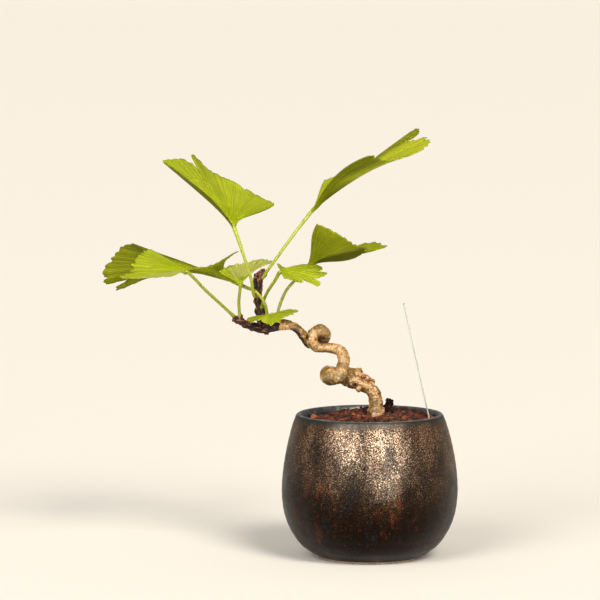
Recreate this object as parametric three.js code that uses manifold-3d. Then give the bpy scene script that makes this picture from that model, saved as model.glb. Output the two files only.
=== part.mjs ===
// Ginkgo bonsai: one leafy tree with a knotted trunk, its soil and its round stoneware pot.
// Millimetres, +Z up. The origin is the centre of the pot's foot. The tree leans towards -X.
import * as THREE from 'three';
import { mergeVertices } from 'three/addons/utils/BufferGeometryUtils.js';
import Module from 'manifold-3d';

const wasm = await Module();
wasm.setup();

// ---- Driving dimensions ----
const potRadius = 35.1; // at the belly
const potHeight = 57.6; // foot to the crest of the lip
const potFootRadius = 20.6;
const potFloorThickness = 5.0;
const potSides = 40;
const drainHoleRadius = 2.5;
const drainHoleCount = 3;
const drainHoleCircle = 10.0; // the holes stand off the centre of the foot
const fitGap = 0.3; // between pieces that rest against each other

const netRadius = 15.5; // plastic net over the drain holes
const netThickness = 0.8;
const netPitch = 4.6;
const netOpening = 3.0; // side of its square openings
const netRim = 0.6; // least width left between an opening and the rim

const soilTop = 55.6; // mean level of the granules, a little under the lip
const soilTilt = 0.045; // rise per millimetre towards +X
const soilRadius = 26.2; // inside the neck of the pot
const soilMound = 1.5; // the middle stands higher than the edge
const granuleCount = 84;
const granuleRadius = [1.3, 2.3];

const trunkHoleRadius = 3.6; // plain hole in the soil that the trunk stands in
const trunkFootDepth = 17; // how far the trunk reaches into the soil

const bladeThickness = 0.62;
const petioleRadius = 0.66;
const petioleFootRadius = 0.88;
const bladeColumns = 26; // across a leaf, from side edge to side edge
const bladeRows = 5; // along the veins

// ---- Small tools ----
let seed = 20431;
function draw(low, high) {
  seed = (seed * 1664525 + 1013904223) >>> 0;
  return low + (high - low) * (seed / 4294967296);
}

const vector = (point) => new THREE.Vector3(point[0], point[1], point[2]);

// A closed geometry as a solid: only shared positions are kept, and slivers with no area go.
function asSolid(geometry) {
  const bare = new THREE.BufferGeometry();
  bare.setAttribute('position', geometry.getAttribute('position'));
  bare.setIndex(geometry.getIndex());
  const merged = mergeVertices(bare, 1e-4);
  const index = merged.getIndex().array;
  const kept = [];
  for (let i = 0; i < index.length; i += 3) {
    const [a, b, c] = [index[i], index[i + 1], index[i + 2]];
    if (a !== b && b !== c && c !== a) kept.push(a, b, c);
  }
  const vertProperties = new Float32Array(merged.getAttribute('position').array);
  const triVerts = new Uint32Array(kept);
  return new wasm.Manifold(new wasm.Mesh({ numProp: 3, vertProperties, triVerts }));
}

function asGeometry(solid) {
  const mesh = solid.getMesh();
  const geometry = new THREE.BufferGeometry();
  geometry.setAttribute('position', new THREE.BufferAttribute(mesh.vertProperties, 3));
  geometry.setIndex(new THREE.BufferAttribute(mesh.triVerts, 1));
  geometry.computeVertexNormals();
  return geometry;
}

const join = (solids) => solids.reduce((whole, solid) => whole.add(solid));

// A profile of [radius, height] points turned about Z. It starts and ends on the axis.
function turned(profile, sides) {
  const points = profile.map(([r, z]) => new THREE.Vector2(r, z));
  return new THREE.LatheGeometry(points, sides).rotateX(Math.PI / 2);
}

function rod(radius, bottom, top, sides, x = 0, y = 0) {
  const geometry = new THREE.CylinderGeometry(radius, radius, top - bottom, sides);
  return geometry.rotateX(Math.PI / 2).translate(x, y, (bottom + top) / 2);
}

// A closed tube through the points. radiusAt(along, angle) gives its surface, along from 0 to 1.
function tube(points, radiusAt, rings, sides) {
  const curve = new THREE.CatmullRomCurve3(points.map(vector), false, 'centripetal');
  const frames = curve.computeFrenetFrames(rings, false);
  const positions = [];
  for (let ring = 0; ring <= rings; ring += 1) {
    const along = ring / rings;
    const centre = curve.getPointAt(along);
    for (let side = 0; side < sides; side += 1) {
      const angle = (side / sides) * 2 * Math.PI;
      const radius = radiusAt(along, angle);
      const point = centre.clone();
      point.addScaledVector(frames.normals[ring], radius * Math.cos(angle));
      point.addScaledVector(frames.binormals[ring], radius * Math.sin(angle));
      positions.push(...point.toArray());
    }
  }
  const index = [];
  for (let ring = 0; ring < rings; ring += 1) {
    for (let side = 0; side < sides; side += 1) {
      const a = ring * sides + side;
      const b = ring * sides + ((side + 1) % sides);
      index.push(a, b, a + sides, b, b + sides, a + sides);
    }
  }
  const last = rings * sides;
  for (let side = 1; side < sides - 1; side += 1) {
    index.push(0, side + 1, side, last, last + side, last + side + 1);
  }
  const geometry = new THREE.BufferGeometry();
  geometry.setAttribute('position', new THREE.Float32BufferAttribute(positions, 3));
  geometry.setIndex(index);
  return geometry;
}

// ---- Finishes ----
function finish(color, roughness, metalness) {
  return new THREE.MeshStandardMaterial({ color, roughness, metalness });
}
const stonewareGlaze = finish('#4a3d2f', 0.38, 0.35);
const netPlastic = finish('#2b2c2b', 0.6, 0);
const clayGranules = finish('#6e3a26', 0.95, 0);
const charredBark = finish('#241b17', 0.95, 0);
const youngBark = finish('#b59470', 0.8, 0);
const leafGreen = finish('#a9b42c', 0.5, 0);
const markerPlastic = finish('#dfe3cf', 0.45, 0);

const bonsai = new THREE.Group();

function addPiece(name, geometry, material) {
  const piece = new THREE.Mesh(geometry, material);
  piece.name = name;
  bonsai.add(piece);
}

// ---- Pot: thrown stoneware, swelling from a narrow foot to a belly low down, with a rounded lip ----
const potOutside = [
  [potFootRadius, 0], [potFootRadius + 0.5, 1.0], [24.3, 2.8], [27.5, 5.2], [30.2, 8.8], [32.6, 13.2],
  [34.3, 18.5], [potRadius - 0.1, 24], [potRadius, 28.5], [34.6, 35], [33.7, 41], [32.4, 47.2],
  [31.1, 52], [30.0, 55.2], [29.2, 57.0], [28.3, potHeight], [27.3, 57.0], [26.7, 55.4],
];
const potInside = [
  [26.9, 53], [28.6, 47], [30.1, 40], [31.0, 33], [31.2, 27], [30.2, 20], [27.6, 13], [23.5, 8],
  [18.5, potFloorThickness + 0.6], [16.5, potFloorThickness],
];
const drainHoleSides = 16;

function potSolid() {
  const profile = [[0, 0], ...potOutside, ...potInside, [0, potFloorThickness]];
  let solid = asSolid(turned(profile, potSides));
  for (let hole = 0; hole < drainHoleCount; hole += 1) {
    const angle = ((hole + 0.25) / drainHoleCount) * 2 * Math.PI;
    const [x, y] = [drainHoleCircle * Math.cos(angle), drainHoleCircle * Math.sin(angle)];
    const bore = rod(drainHoleRadius, -1, potFloorThickness + 1, drainHoleSides, x, y);
    solid = solid.subtract(asSolid(bore));
  }
  return solid;
}
addPiece('pot', asGeometry(potSolid()), stonewareGlaze);

// ---- Drain net: a plastic disc with square openings, on the pot's floor ----
const netSides = 28;

function netSolid() {
  const bottom = potFloorThickness + fitGap;
  let solid = asSolid(rod(netRadius, bottom, bottom + netThickness, netSides));
  const reach = Math.floor(netRadius / netPitch);
  for (let column = -reach; column <= reach; column += 1) {
    for (let row = -reach; row <= reach; row += 1) {
      const [x, y] = [column * netPitch, row * netPitch];
      const corner = Math.hypot(Math.abs(x) + netOpening / 2, Math.abs(y) + netOpening / 2);
      const opening = new THREE.BoxGeometry(netOpening, netOpening, 3).translate(x, y, bottom);
      if (corner < netRadius - netRim) solid = solid.subtract(asSolid(opening));
    }
  }
  return solid;
}
addPiece('drain_net', asGeometry(netSolid()), netPlastic);

// ---- Trunk: one living stem with two knots, a dark older end and an upright spur ----
// Points are [x, y, z, radius] along the middle of the wood.
const trunkBase = [
  [2.6, 0, soilTop - trunkFootDepth, 2.9], [2.6, 0, 48, 2.9], [2.6, 0, 54, 2.95], [2.5, 0, 57.5, 2.75],
];
const trunkRise = [
  [2.3, 0, 61.5, 2.3], [1.4, 0, 65.5, 2.4], [-0.8, 0, 68.4, 2.8], [-3.6, 0.6, 70.2, 3.3],
  [-6.6, 1.8, 71.6, 3.7], [-9.6, 3.6, 72.4, 3.0],
];
const lowerKnot = [
  [-9.6, 3.6, 72.4, 3.0], [-12.6, 4.2, 72.6, 2.9], [-15.4, 3.2, 72.4, 3.3], [-16.6, 0.6, 72.3, 3.7],
  [-15.6, -2.4, 72.2, 3.2], [-12.8, -3.8, 72.6, 2.6], [-10.8, -3.2, 75.2, 2.3],
];
const middleRise = [
  [-12.4, -3.7, 73.2, 2.4], [-10.9, -2.9, 76.2, 2.3], [-10.4, -1.4, 79.6, 2.25], [-11.6, -0.6, 82.4, 2.2],
  [-14.8, -0.7, 83.7, 1.9], [-18.4, -1.3, 83.9, 1.8], [-21.4, -2.1, 84.4, 1.85], [-23.4, -2.6, 86.6, 1.9],
];
const upperKnot = [
  [-22.4, -2.3, 85.2, 1.85], [-23.2, -2.6, 87.4, 2.05], [-22.0, -2.3, 89.9, 2.3], [-19.9, -1.2, 90.8, 2.4],
  [-18.1, 0.4, 89.5, 2.3], [-18.2, 2.0, 87.1, 2.1], [-20.3, 3.0, 85.2, 2.0], [-23.4, 3.0, 84.7, 1.9],
];
const branch = [
  [-21.4, 3.0, 84.8, 1.8], [-24.2, 2.7, 85.2, 1.75], [-26.4, 1.8, 88.4, 1.65], [-28.9, 1.0, 91.4, 1.65],
  [-32.6, 0.4, 92.6, 1.75], [-37.4, 0.2, 92.2, 1.75], [-42.0, 0, 91.5, 1.85], [-46.4, 0, 92.2, 1.6],
  [-50.2, 0, 93.6, 1.35], [-52.8, 0, 95.0, 1.3], [-54.2, 0, 96.2, 0.9],
];
const spur = [
  [-43.2, 0.6, 91.6, 1.5], [-43.8, 1.0, 95.6, 1.5], [-43.9, 1.2, 99.0, 1.9], [-44.3, 1.2, 102.6, 1.45],
  [-44.6, 1.2, 107.0, 1.4], [-44.8, 1.2, 110.6, 1.6], [-44.0, 1.0, 113.2, 1.7], [-42.8, 0.8, 115.0, 0.9],
];
const stubs = [
  [[-4.6, 0.4, 70.6, 2.2], [-4.9, 0.2, 73.2, 2.2], [-5.0, 0.2, 75.4, 1.4]],
  [[-7.6, 0.6, 71.2, 2.2], [-8.0, 0.4, 73.6, 1.9], [-7.8, 0.4, 75.0, 1.1]],
  [[0.2, 0.2, 69.0, 1.6], [1.0, 0, 70.2, 1.2], [1.6, -0.2, 70.7, 0.6]],
  [[-4.2, -0.4, 68.2, 1.5], [-4.7, -0.8, 66.8, 1.0], [-4.9, -0.9, 66.1, 0.5]],
  [[-41, 0, 91.0, 1.2], [-41.2, -0.2, 89.6, 0.8], [-41.3, -0.2, 89.0, 0.4]],
];
const barkRings = 0.05; // height of the growth rings, as a share of the radius
const woodSides = 9;

function woodTube(points, rings, sides) {
  const radiusPoints = points.map((point) => new THREE.Vector3(point[3], 0, 0));
  const radii = new THREE.CatmullRomCurve3(radiusPoints, false, 'centripetal');
  const radiusAt = (along, angle) => {
    const ripple = Math.sin(along * rings * 1.9) * 0.6 + Math.sin(angle * 3 + along * 23) * 0.6;
    return radii.getPoint(along).x * (1 + barkRings * ripple);
  };
  return asSolid(tube(points, radiusAt, rings, sides));
}

function trunkSolid() {
  return join([
    woodTube([...trunkBase, trunkRise[0]], 5, woodSides),
    woodTube([trunkBase[3], ...trunkRise], 11, woodSides),
    woodTube(lowerKnot, 13, woodSides),
    woodTube(middleRise, 12, woodSides),
    woodTube(upperKnot, 14, woodSides),
    woodTube(branch, 17, 8),
    woodTube(spur, 9, 8),
    ...stubs.map((points) => woodTube(points, 2, 6)),
  ]);
}

// ---- Leaves: a fan of veins from the end of the petiole, each vein a curve to the margin ----
// stem: the petiole, from its seat in the wood to the blade. rays: guide veins from one side edge to the
// other, [x, y, z] of the margin and [x, y, z] that the vein's middle is bowed by. cuts: notches in the
// margin, [share of the way across, depth as a share of the vein, half width]. columns and handle stand
// in for bladeColumns and veinHandle on a small leaf.
const leaves = {
  leaf_upper_left: {
    stem: [
      [-45.2, 0.2, 102.4], [-46.2, -1.8, 104.6], [-46.6, -3.2, 106.8], [-47, -5, 111], [-48, -6.5, 115.5],
      [-49.5, -7.5, 119.5], [-50.5, -8, 123.5], [-52.5, -7.5, 128], [-54, -6, 132.5],
    ],
    rays: [
      [-73.5, -15, 152.5, 1, -2, 3.5], [-77, -12, 155.5, 1, -1, 1.5], [-81.5, -7, 158, 1, 0, 1],
      [-79, 0, 159, 0, 0, 1], [-74.5, 6, 158.5, 0, 0, 2], [-71.5, 10, 156.5, 0, 0, 1.5],
      [-71, 15, 160, 0, 0, 0.5], [-67, 19, 156, 0, 0, 1], [-63, 22, 152.5, 0, 0, 1.5],
      [-58, 24, 150, 0, 0, 2], [-51.5, 23, 147, 0, 0, 2], [-44.5, 20, 143, -1, 0, 2.5],
      [-38.5, 15, 140, -3.5, 0, 3.5],
    ],
    cuts: [[0.455, 0.12, 0.02]],
  },
  leaf_upper_right: {
    stem: [
      [-43.8, 0.6, 110.2], [-41.8, -1.4, 112.8], [-39, -2.5, 116.5], [-35.5, -3, 120.5], [-32, -3, 126.5],
      [-28, -2.5, 131.5], [-24.5, -2, 135.5], [-22.5, -1, 138.5],
    ],
    rays: [
      [-1, -24, 161.5, -5, 0, 5.5], [5, -20, 159.5, -3, 0, 5.5], [11.5, -15, 160, 0, 0, 6],
      [18.5, -8, 162, 0, 0, 7], [23.5, 0, 165, 0, 0, 6.5], [22, 6, 167, 0, 0, 5.5],
      [15.5, 12, 165.5, 2, -0.5, 5], [19.5, 15, 168, -1, 0, 3], [19, 18.5, 170, -1, 0, 2],
      [15, 22, 167.5, -1, 0, 1], [9, 25, 161.5, -1, 0, 0.5], [0.5, 28, 157, 0, 0, 0.5],
      [-7.5, 31, 152.5, 0, 0, 1], [-18, 29, 149, 0, 0, 1],
    ],
    cuts: [[0.475, 0.06, 0.02]],
  },
  leaf_right: {
    stem: [
      [-36.6, 0.8, 92.9], [-36.7, 2.2, 96.5], [-36, 2.8, 100], [-34, 3, 105], [-32, 4, 108],
      [-29.5, 5, 110.5], [-26.5, 5.8, 113.5], [-24, 6, 116.5],
    ],
    rays: [
      [-21, -16, 134.5, -2, 0, 2], [-17, -18, 132.5, -1, 0, 2], [-10.5, -20, 129, 0, 0, 1.5],
      [-6.5, -17, 126, 0, -2, 1], [-2, -13, 124.5, 0, -3, 1], [-3, -8, 122.5, 0, -2, -0.5],
      [-5, -3, 120.5, 0, 0, -1], [-3.5, 2.5, 121.5, 0, 0, 0], [3, 6.5, 122.5, 0, 0, 0.5],
      [7, 11, 123.5, 0, 0, 1], [4.5, 15.5, 124.5, 0, 0, 1], [-1.5, 20, 124, 0, 0, 1],
      [-8.5, 23, 121, 0, 0, 0],
    ],
    cuts: [[0.79, 0.07, 0.02]],
  },
  leaf_centre_right: {
    stem: [
      [-43.3, 0.3, 99], [-42.4, -0.5, 101.4], [-42, -0.6, 103.6], [-41.1, -1.8, 106.8], [-39.5, -3.2, 109],
      [-37.6, -4.2, 111.2], [-36, -5, 114],
    ],
    rays: [
      [-37, 2, 117.5, 0, 0, 0], [-32.5, 3, 115, 0, 0, 1], [-28, 3.5, 116.5, 0, 0, 1],
      [-23.5, 2.5, 117, 0, 0, 1], [-20, 0, 116, 0, 0, 1], [-17.5, -5, 113.5, 0, 0, 1],
      [-19.5, -8, 112.5, 0, 0, 1], [-21, -13, 109.5, 0, 0, 2], [-26, -13.5, 112, 0, 0, 1],
      [-27.5, -16.5, 111, 0, 0, 1.5], [-30, -17, 112, 0, 0, 1], [-34, -13, 112.5, 0, 0, 0.5],
    ],
    cuts: [[0.59, 0.14, 0.02], [0.73, 0.3, 0.022]],
    columns: 22,
    handle: 2.5,
  },
  leaf_left: {
    stem: [
      [-53.6, 0.6, 95.8], [-56.4, -2.6, 98.8], [-61.5, -7, 104], [-65.5, -9.5, 108], [-69, -11.5, 112],
      [-72, -13, 115],
    ],
    rays: [
      [-87.5, 9, 122.5, 0, 0, 1], [-90.5, 6, 121.5, 0, 0, 1], [-92, 2, 120.5, 0, 0, 1],
      [-93.5, -4, 118.5, 0, 0, 1], [-93.5, -10, 116, 0, 0, 1], [-97.5, -20, 113.5, 0, 0, 1],
      [-92, -23, 113.5, 0, 0, 1], [-86, -27, 114, 0, 0, 1], [-80, -27, 114.5, 0, 0, 0],
    ],
    cuts: [[0.2, 0.1, 0.02], [0.56, 0.12, 0.02]],
  },
  leaf_far_left: {
    stem: [
      [-40.8, 0, 92.6], [-40.9, -1.2, 97.2], [-41.5, -2.4, 100.8], [-42.8, -3, 103.6], [-44.3, -2.2, 105.3],
      [-45.6, -1.2, 106.5], [-46.8, 0.4, 107], [-49, 4, 107.4], [-52, 12, 108],
    ],
    rays: [
      [-52, -2, 122.5, -14, -4.5, 0.5], [-56.3, 1, 120, -11, -3.5, 2], [-60.3, 4.5, 117.5, -8.5, -4, 3],
      [-65, 7, 115.5, -8, -3.5, 4.5], [-70, 7.5, 114.5, -9.5, -1, 5.5], [-75.5, 8, 113.5, -9, 0, 7],
      [-81.5, 9.5, 115, -8, 1, 7], [-87, 12, 120, -6, 2, 4.5], [-94.5, 16, 124, -1.5, 3, 0],
      [-99.5, 19, 122.5, 1, 3.5, -0.5], [-103.5, 22, 118, 3.5, 3.5, 2], [-106.5, 24, 114.5, 6, 3.5, 5.5],
      [-107.5, 26, 109, 7.5, 3.5, 9.5], [-105.5, 28, 107, 7.5, 3.5, 11.5], [-101, 29.5, 107.5, 5.5, 4, 11.5],
      [-102.5, 31.5, 104, 7, 4, 14], [-94.5, 33, 107, 3.5, 4.5, 12],
    ],
    cuts: [[0.875, 0.05, 0.02]],
    columns: 34,
  },
  leaf_centre_left: {
    stem: [[-51.5, 0.2, 94.6], [-51.9, -1.2, 98.6], [-52, -3, 103], [-51.5, -5, 107.5], [-51.5, -6, 109.5]],
    rays: [
      [-60, -1, 114.5, 0, 0, 0], [-57.5, 3, 115.5, 0, 0, 0], [-53.5, 7, 116.5, 0, 0, 0],
      [-49, 10, 117, 0, 0, 0], [-44.5, 11, 118, 0, 0, 0], [-41, 9, 118, 0, 0, 1.5],
      [-38.5, 5, 117.5, -1, 0, 3.5],
    ],
    cuts: [],
    columns: 20,
    handle: 2.5,
  },
  leaf_low: {
    stem: [[-38.6, 1.4, 92.6], [-38.7, 2.3, 94.4], [-38.9, 1, 96.3], [-39, -2.3, 97.4]],
    rays: [
      [-49, -4.5, 96, 0, 0, 0.5], [-47.5, -8.5, 95, 0, 0, 0.5], [-44.5, -12, 96, 0, 0, 1],
      [-41, -15, 95, 0, 0, 1], [-39, -16, 94.5, 0, 0, 1], [-36, -15, 95.5, 0, 0, 1],
      [-34, -13.2, 96.8, 0, 0, 1], [-32.8, -11.8, 97.5, 0, 0, 0.7], [-30, -10, 98, 0, 0, 0.5],
      [-29.5, -6, 99, 0, 0, 0.5], [-30.5, -2.5, 99.5, 0, 0, 0.5],
    ],
    cuts: [],
    columns: 22,
    handle: 1.5,
  },
};

const veinHandle = 5; // how far the veins of a large leaf follow its petiole before they fan out
const veinMiddle = 0.55; // where along a vein its bow is given
const veinStart = 0.07; // where along the veins the blade begins, inside the petiole
const rowSpread = 1.2; // the rows of the blade's grid lie closer together near the petiole
const marginWave = 0.4; // height of the small waves of the margin
const waveTurns = [57, 94]; // two waves of the margin, radians from side edge to side edge
const cutRoom = 1.4; // half widths to each side of a cut that hold no other column
const startThinning = 8; // the blade starts as thin as its thickness over this, inside the petiole
const foldPinch = 0.4; // share of a fold's inner space that the blade may fill
const gentleSlope = 0.4; // fastest change of the blade's half thickness

function veinsOf(leaf) {
  const end = vector(leaf.stem.at(-1));
  const heading = end.clone().sub(vector(leaf.stem.at(-2))).normalize();
  const shoulder = end.clone().addScaledVector(heading, leaf.handle ?? veinHandle);
  const through = (points) => new THREE.CatmullRomCurve3(points, false, 'catmullrom', 0.5);
  const tips = through(leaf.rays.map((ray) => new THREE.Vector3(ray[0], ray[1], ray[2])));
  const bows = through(leaf.rays.map((ray) => new THREE.Vector3(ray[3], ray[4], ray[5])));
  return (across, along) => {
    const tip = tips.getPoint(across);
    const middle = end.clone().lerp(tip, veinMiddle).add(bows.getPoint(across));
    return new THREE.CubicBezierCurve3(end, shoulder, middle, tip).getPoint(along);
  };
}

// How far along the veins the margin lies: its small waves, less the cuts.
function marginReach(leaf, vein, across) {
  const length = vein(across, 1).distanceTo(vein(across, 0));
  const wave = Math.sin(waveTurns[0] * across) + 0.7 * Math.sin(waveTurns[1] * across + 1);
  let reach = 1 + (marginWave / length) * wave;
  for (const [at, depth, halfWidth] of leaf.cuts) {
    reach -= depth * Math.max(0, 1 - Math.abs(across - at) / halfWidth);
  }
  return reach;
}

// Evenly spread shares of the way across, with three at each cut so that it stays sharp.
function columnsOf(leaf) {
  const columns = leaf.columns ?? bladeColumns;
  let shares = Array.from({ length: columns + 1 }, (_, i) => i / columns);
  for (const [at, , halfWidth] of leaf.cuts) {
    shares = shares.filter((share) => Math.abs(share - at) > cutRoom * halfWidth);
    shares.push(at - halfWidth, at, at + halfWidth);
  }
  return shares.sort((a, b) => a - b);
}

// Half the blade's thickness at every point of its grid: thin where it starts inside the petiole, pinched
// in a fold that is too tight for the full thickness, and evened out along the blade.
function halfThicknesses(points, normals, stride) {
  const neighbours = points.map((_, i) => [
    ...(i % stride > 0 ? [i - 1] : []), ...(i % stride < stride - 1 ? [i + 1] : []), i - stride, i + stride,
  ].filter((j) => points[j]));
  const halves = points.map((point, i) => {
    let half = bladeThickness / (i % stride === 0 ? startThinning : 2);
    for (const j of neighbours[i]) {
      const step = points[j].clone().sub(point);
      const turn = Math.abs(normals[j].clone().sub(normals[i]).dot(step));
      half = Math.min(half, (foldPinch * step.lengthSq()) / Math.max(turn, 1e-6));
    }
    return half;
  });
  for (let sweep = 0; sweep < 8; sweep += 1) {
    points.forEach((point, i) => {
      const limits = neighbours[i].map((j) => halves[j] + gentleSlope * point.distanceTo(points[j]));
      halves[i] = Math.min(halves[i], ...limits);
    });
  }
  return halves;
}

function bladeSolid(leaf, vein) {
  const shares = columnsOf(leaf);
  const rows = bladeRows;
  const across = shares.length;
  const middle = [];
  for (const share of shares) {
    const reach = marginReach(leaf, vein, share);
    for (let row = 0; row <= rows; row += 1) {
      middle.push(vein(share, veinStart + (reach - veinStart) * (row / rows) ** rowSpread));
    }
  }
  const at = (column, row) => middle[column * (rows + 1) + row];
  const normals = [];
  for (let column = 0; column < across; column += 1) {
    for (let row = 0; row <= rows; row += 1) {
      const over = at(Math.min(column + 1, across - 1), row).clone().sub(at(Math.max(column - 1, 0), row));
      const up = at(column, Math.min(row + 1, rows)).clone().sub(at(column, Math.max(row - 1, 0)));
      normals.push(over.cross(up).normalize());
    }
  }
  const faces = [[], []];
  const halves = halfThicknesses(middle, normals, rows + 1);
  middle.forEach((point, i) => {
    faces[0].push(point.clone().addScaledVector(normals[i], halves[i]));
    faces[1].push(point.clone().addScaledVector(normals[i], -halves[i]));
  });
  const under = faces[0].length;
  const index = [];
  const quad = (a, b, c, d) => index.push(a, b, c, a, c, d);
  for (let column = 0; column < across - 1; column += 1) {
    for (let row = 0; row < rows; row += 1) {
      const a = column * (rows + 1) + row;
      const b = a + rows + 1;
      quad(a, b, b + 1, a + 1);
      index.push(under + a, under + b + 1, under + b, under + a, under + a + 1, under + b + 1);
    }
    const low = column * (rows + 1);
    const high = low + rows;
    quad(low + rows + 1, low, under + low, under + low + rows + 1);
    quad(high, high + rows + 1, under + high + rows + 1, under + high);
  }
  for (let row = 0; row < rows; row += 1) {
    const right = (across - 1) * (rows + 1) + row;
    quad(row, row + 1, under + row + 1, under + row);
    quad(right + 1, right, under + right, under + right + 1);
  }
  const geometry = new THREE.BufferGeometry();
  const positions = faces.flat().flatMap((point) => point.toArray());
  geometry.setAttribute('position', new THREE.Float32BufferAttribute(positions, 3));
  geometry.setIndex(index);
  return asSolid(geometry);
}

// The petiole is thicker at its foot and runs on into the blade, where it thins out inside it.
function petioleSolid(leaf, vein) {
  const intoBlade = [0.08, 0.16, 0.26].map((along) => vein(0.5, along).toArray());
  const radiusAt = (along) => {
    const taper = 1 - 2.5 * Math.max(0, along - 0.8);
    const swell = Math.max(0, 1 - along * 7);
    return petioleRadius * taper + (petioleFootRadius - petioleRadius) * swell;
  };
  return asSolid(tube([...leaf.stem, ...intoBlade], radiusAt, Math.round(1.6 * leaf.stem.length), 6));
}

for (const [name, leaf] of Object.entries(leaves)) {
  const vein = veinsOf(leaf);
  addPiece(name, asGeometry(bladeSolid(leaf, vein).add(petioleSolid(leaf, vein))), leafGreen);
}

// The wood has a shallow socket for the foot of every petiole, a little wider than the foot.
function socketSolid([foot, next]) {
  const inward = vector(foot).sub(vector(next)).normalize().multiplyScalar(fitGap);
  const start = vector(foot).add(inward).toArray();
  return asSolid(tube([start, next], () => petioleFootRadius + 1.4 * fitGap, 1, 8));
}
let wood = trunkSolid();
for (const leaf of Object.values(leaves)) wood = wood.subtract(socketSolid(leaf.stem));
addPiece('trunk', asGeometry(wood), youngBark);

// ---- Soil: clay granules filling the pot, level with the lip at the right and lower at the left ----
const markerSeat = { x: 23.4, y: 0, lean: 0.219, depth: 20 }; // where the marker enters the soil
const marker = { thickness: 0.8, width: 4, height: 47 };
const chip = [
  [7.9, 5.2, 51, 1.3], [7.8, 5.0, 55, 1.7], [7.6, 4.8, 58.6, 1.2], [7.9, 4.8, 61.2, 1.7],
  [8.3, 4.8, 62.8, 1.1],
];

function soilBase() {
  const wall = potInside.filter((_, i) => i % 2 === 0).map(([r, z]) => [r - fitGap, z]).reverse();
  const floor = potFloorThickness + fitGap + netThickness + fitGap;
  const crown = [soilRadius, 20, 12, 0].map((r) => [r, soilTop - soilMound * (r / soilRadius) ** 2]);
  const profile = [[0, floor], ...wall.map(([r, z]) => [r, Math.max(z, floor)]), ...crown];
  const geometry = turned(profile, potSides);
  const position = geometry.getAttribute('position');
  for (let i = 0; i < position.count; i += 1) {
    if (position.getZ(i) > soilTop - 2) position.setZ(i, position.getZ(i) + soilTilt * position.getX(i));
  }
  return asSolid(geometry);
}

const goldenAngle = Math.PI * (3 - Math.sqrt(5)); // spreads the granules evenly over the top

function granule(order) {
  const radius = draw(...granuleRadius);
  const out = (soilRadius - radius) * Math.sqrt((order + 0.5) / granuleCount);
  const angle = order * goldenAngle + draw(-0.12, 0.12);
  const [x, y] = [out * Math.cos(angle), out * Math.sin(angle)];
  const level = soilTop - soilMound * (out / soilRadius) ** 2 + soilTilt * x + draw(-0.6, 0.3);
  const grain = new THREE.IcosahedronGeometry(radius, 0);
  grain.scale(1, draw(0.75, 1), draw(0.7, 0.95)).rotateZ(draw(0, 6)).rotateX(draw(-0.5, 0.5));
  grain.setIndex(Array.from({ length: grain.getAttribute('position').count }, (_, i) => i));
  return asSolid(grain.translate(x, y, level));
}

function markerSolid(gap) {
  const half = marker.width / 2 + gap;
  const outline = new THREE.Shape();
  outline.moveTo(-half, marker.height + gap);
  outline.lineTo(-half, -markerSeat.depth + marker.width);
  outline.lineTo(0, -markerSeat.depth - gap);
  outline.lineTo(half, -markerSeat.depth + marker.width);
  outline.lineTo(half, marker.height + gap);
  outline.closePath();
  const thickness = marker.thickness + 2 * gap;
  const strip = new THREE.ExtrudeGeometry(outline, { depth: thickness, bevelEnabled: false });
  strip.translate(0, 0, -thickness / 2).rotateX(Math.PI / 2).rotateZ(Math.PI / 2).rotateY(-markerSeat.lean);
  return strip.translate(markerSeat.x, markerSeat.y, soilTop + soilTilt * markerSeat.x);
}

function chipSolid(gap) {
  const [[x, y, z, radius], ...rest] = chip;
  const points = [[x, y, z - gap, radius], ...rest];
  return woodTube(points.map((point) => [...point.slice(0, 3), point[3] + gap]), 7, 7);
}

function soilSolid() {
  const grains = Array.from({ length: granuleCount }, (_, order) => granule(order));
  const [trunkX, trunkY, trunkFoot] = trunkBase[0];
  const trunkHole = rod(trunkHoleRadius, trunkFoot - fitGap, soilTop + 8, 20, trunkX, trunkY);
  const bare = join([soilBase(), ...grains]);
  return bare.subtract(asSolid(trunkHole)).subtract(chipSolid(fitGap)).subtract(asSolid(markerSolid(fitGap)));
}
addPiece('soil', asGeometry(soilSolid()), clayGranules);
addPiece('charred_chip', asGeometry(chipSolid(0)), charredBark);
addPiece('marker', markerSolid(0), markerPlastic);

export default bonsai;
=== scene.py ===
import math
import random
from functools import partial

import bmesh
import bpy
from mathutils import Matrix, Vector, noise
from mathutils.kdtree import KDTree


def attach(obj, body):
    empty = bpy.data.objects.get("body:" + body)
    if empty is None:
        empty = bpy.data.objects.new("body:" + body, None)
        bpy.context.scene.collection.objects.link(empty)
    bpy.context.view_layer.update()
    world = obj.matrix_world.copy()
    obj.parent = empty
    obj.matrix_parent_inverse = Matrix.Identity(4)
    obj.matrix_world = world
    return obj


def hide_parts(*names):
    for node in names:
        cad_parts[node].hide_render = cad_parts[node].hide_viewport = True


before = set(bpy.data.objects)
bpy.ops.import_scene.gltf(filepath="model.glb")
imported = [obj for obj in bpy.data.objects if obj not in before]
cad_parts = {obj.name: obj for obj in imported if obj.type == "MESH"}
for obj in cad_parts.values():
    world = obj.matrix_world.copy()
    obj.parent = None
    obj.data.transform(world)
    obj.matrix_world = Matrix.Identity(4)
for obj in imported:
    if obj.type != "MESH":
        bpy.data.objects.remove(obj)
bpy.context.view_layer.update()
mm = 0.001  # shapes are made in millimetres and scaled once, when a piece is finished
chance = random.Random(4107)
print("frame loaded:", len(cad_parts), "nodes")


# ways of working that the pieces share

def linear(hexColour):
    channels = [int(hexColour[i:i + 2], 16) / 255 for i in (1, 3, 5)]
    return tuple(c / 12.92 if c <= 0.04045 else ((c + 0.055) / 1.055) ** 2.4 for c in channels) + (1,)


def clamp(value, low=0, high=1):
    return min(max(value, low), high)


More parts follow.
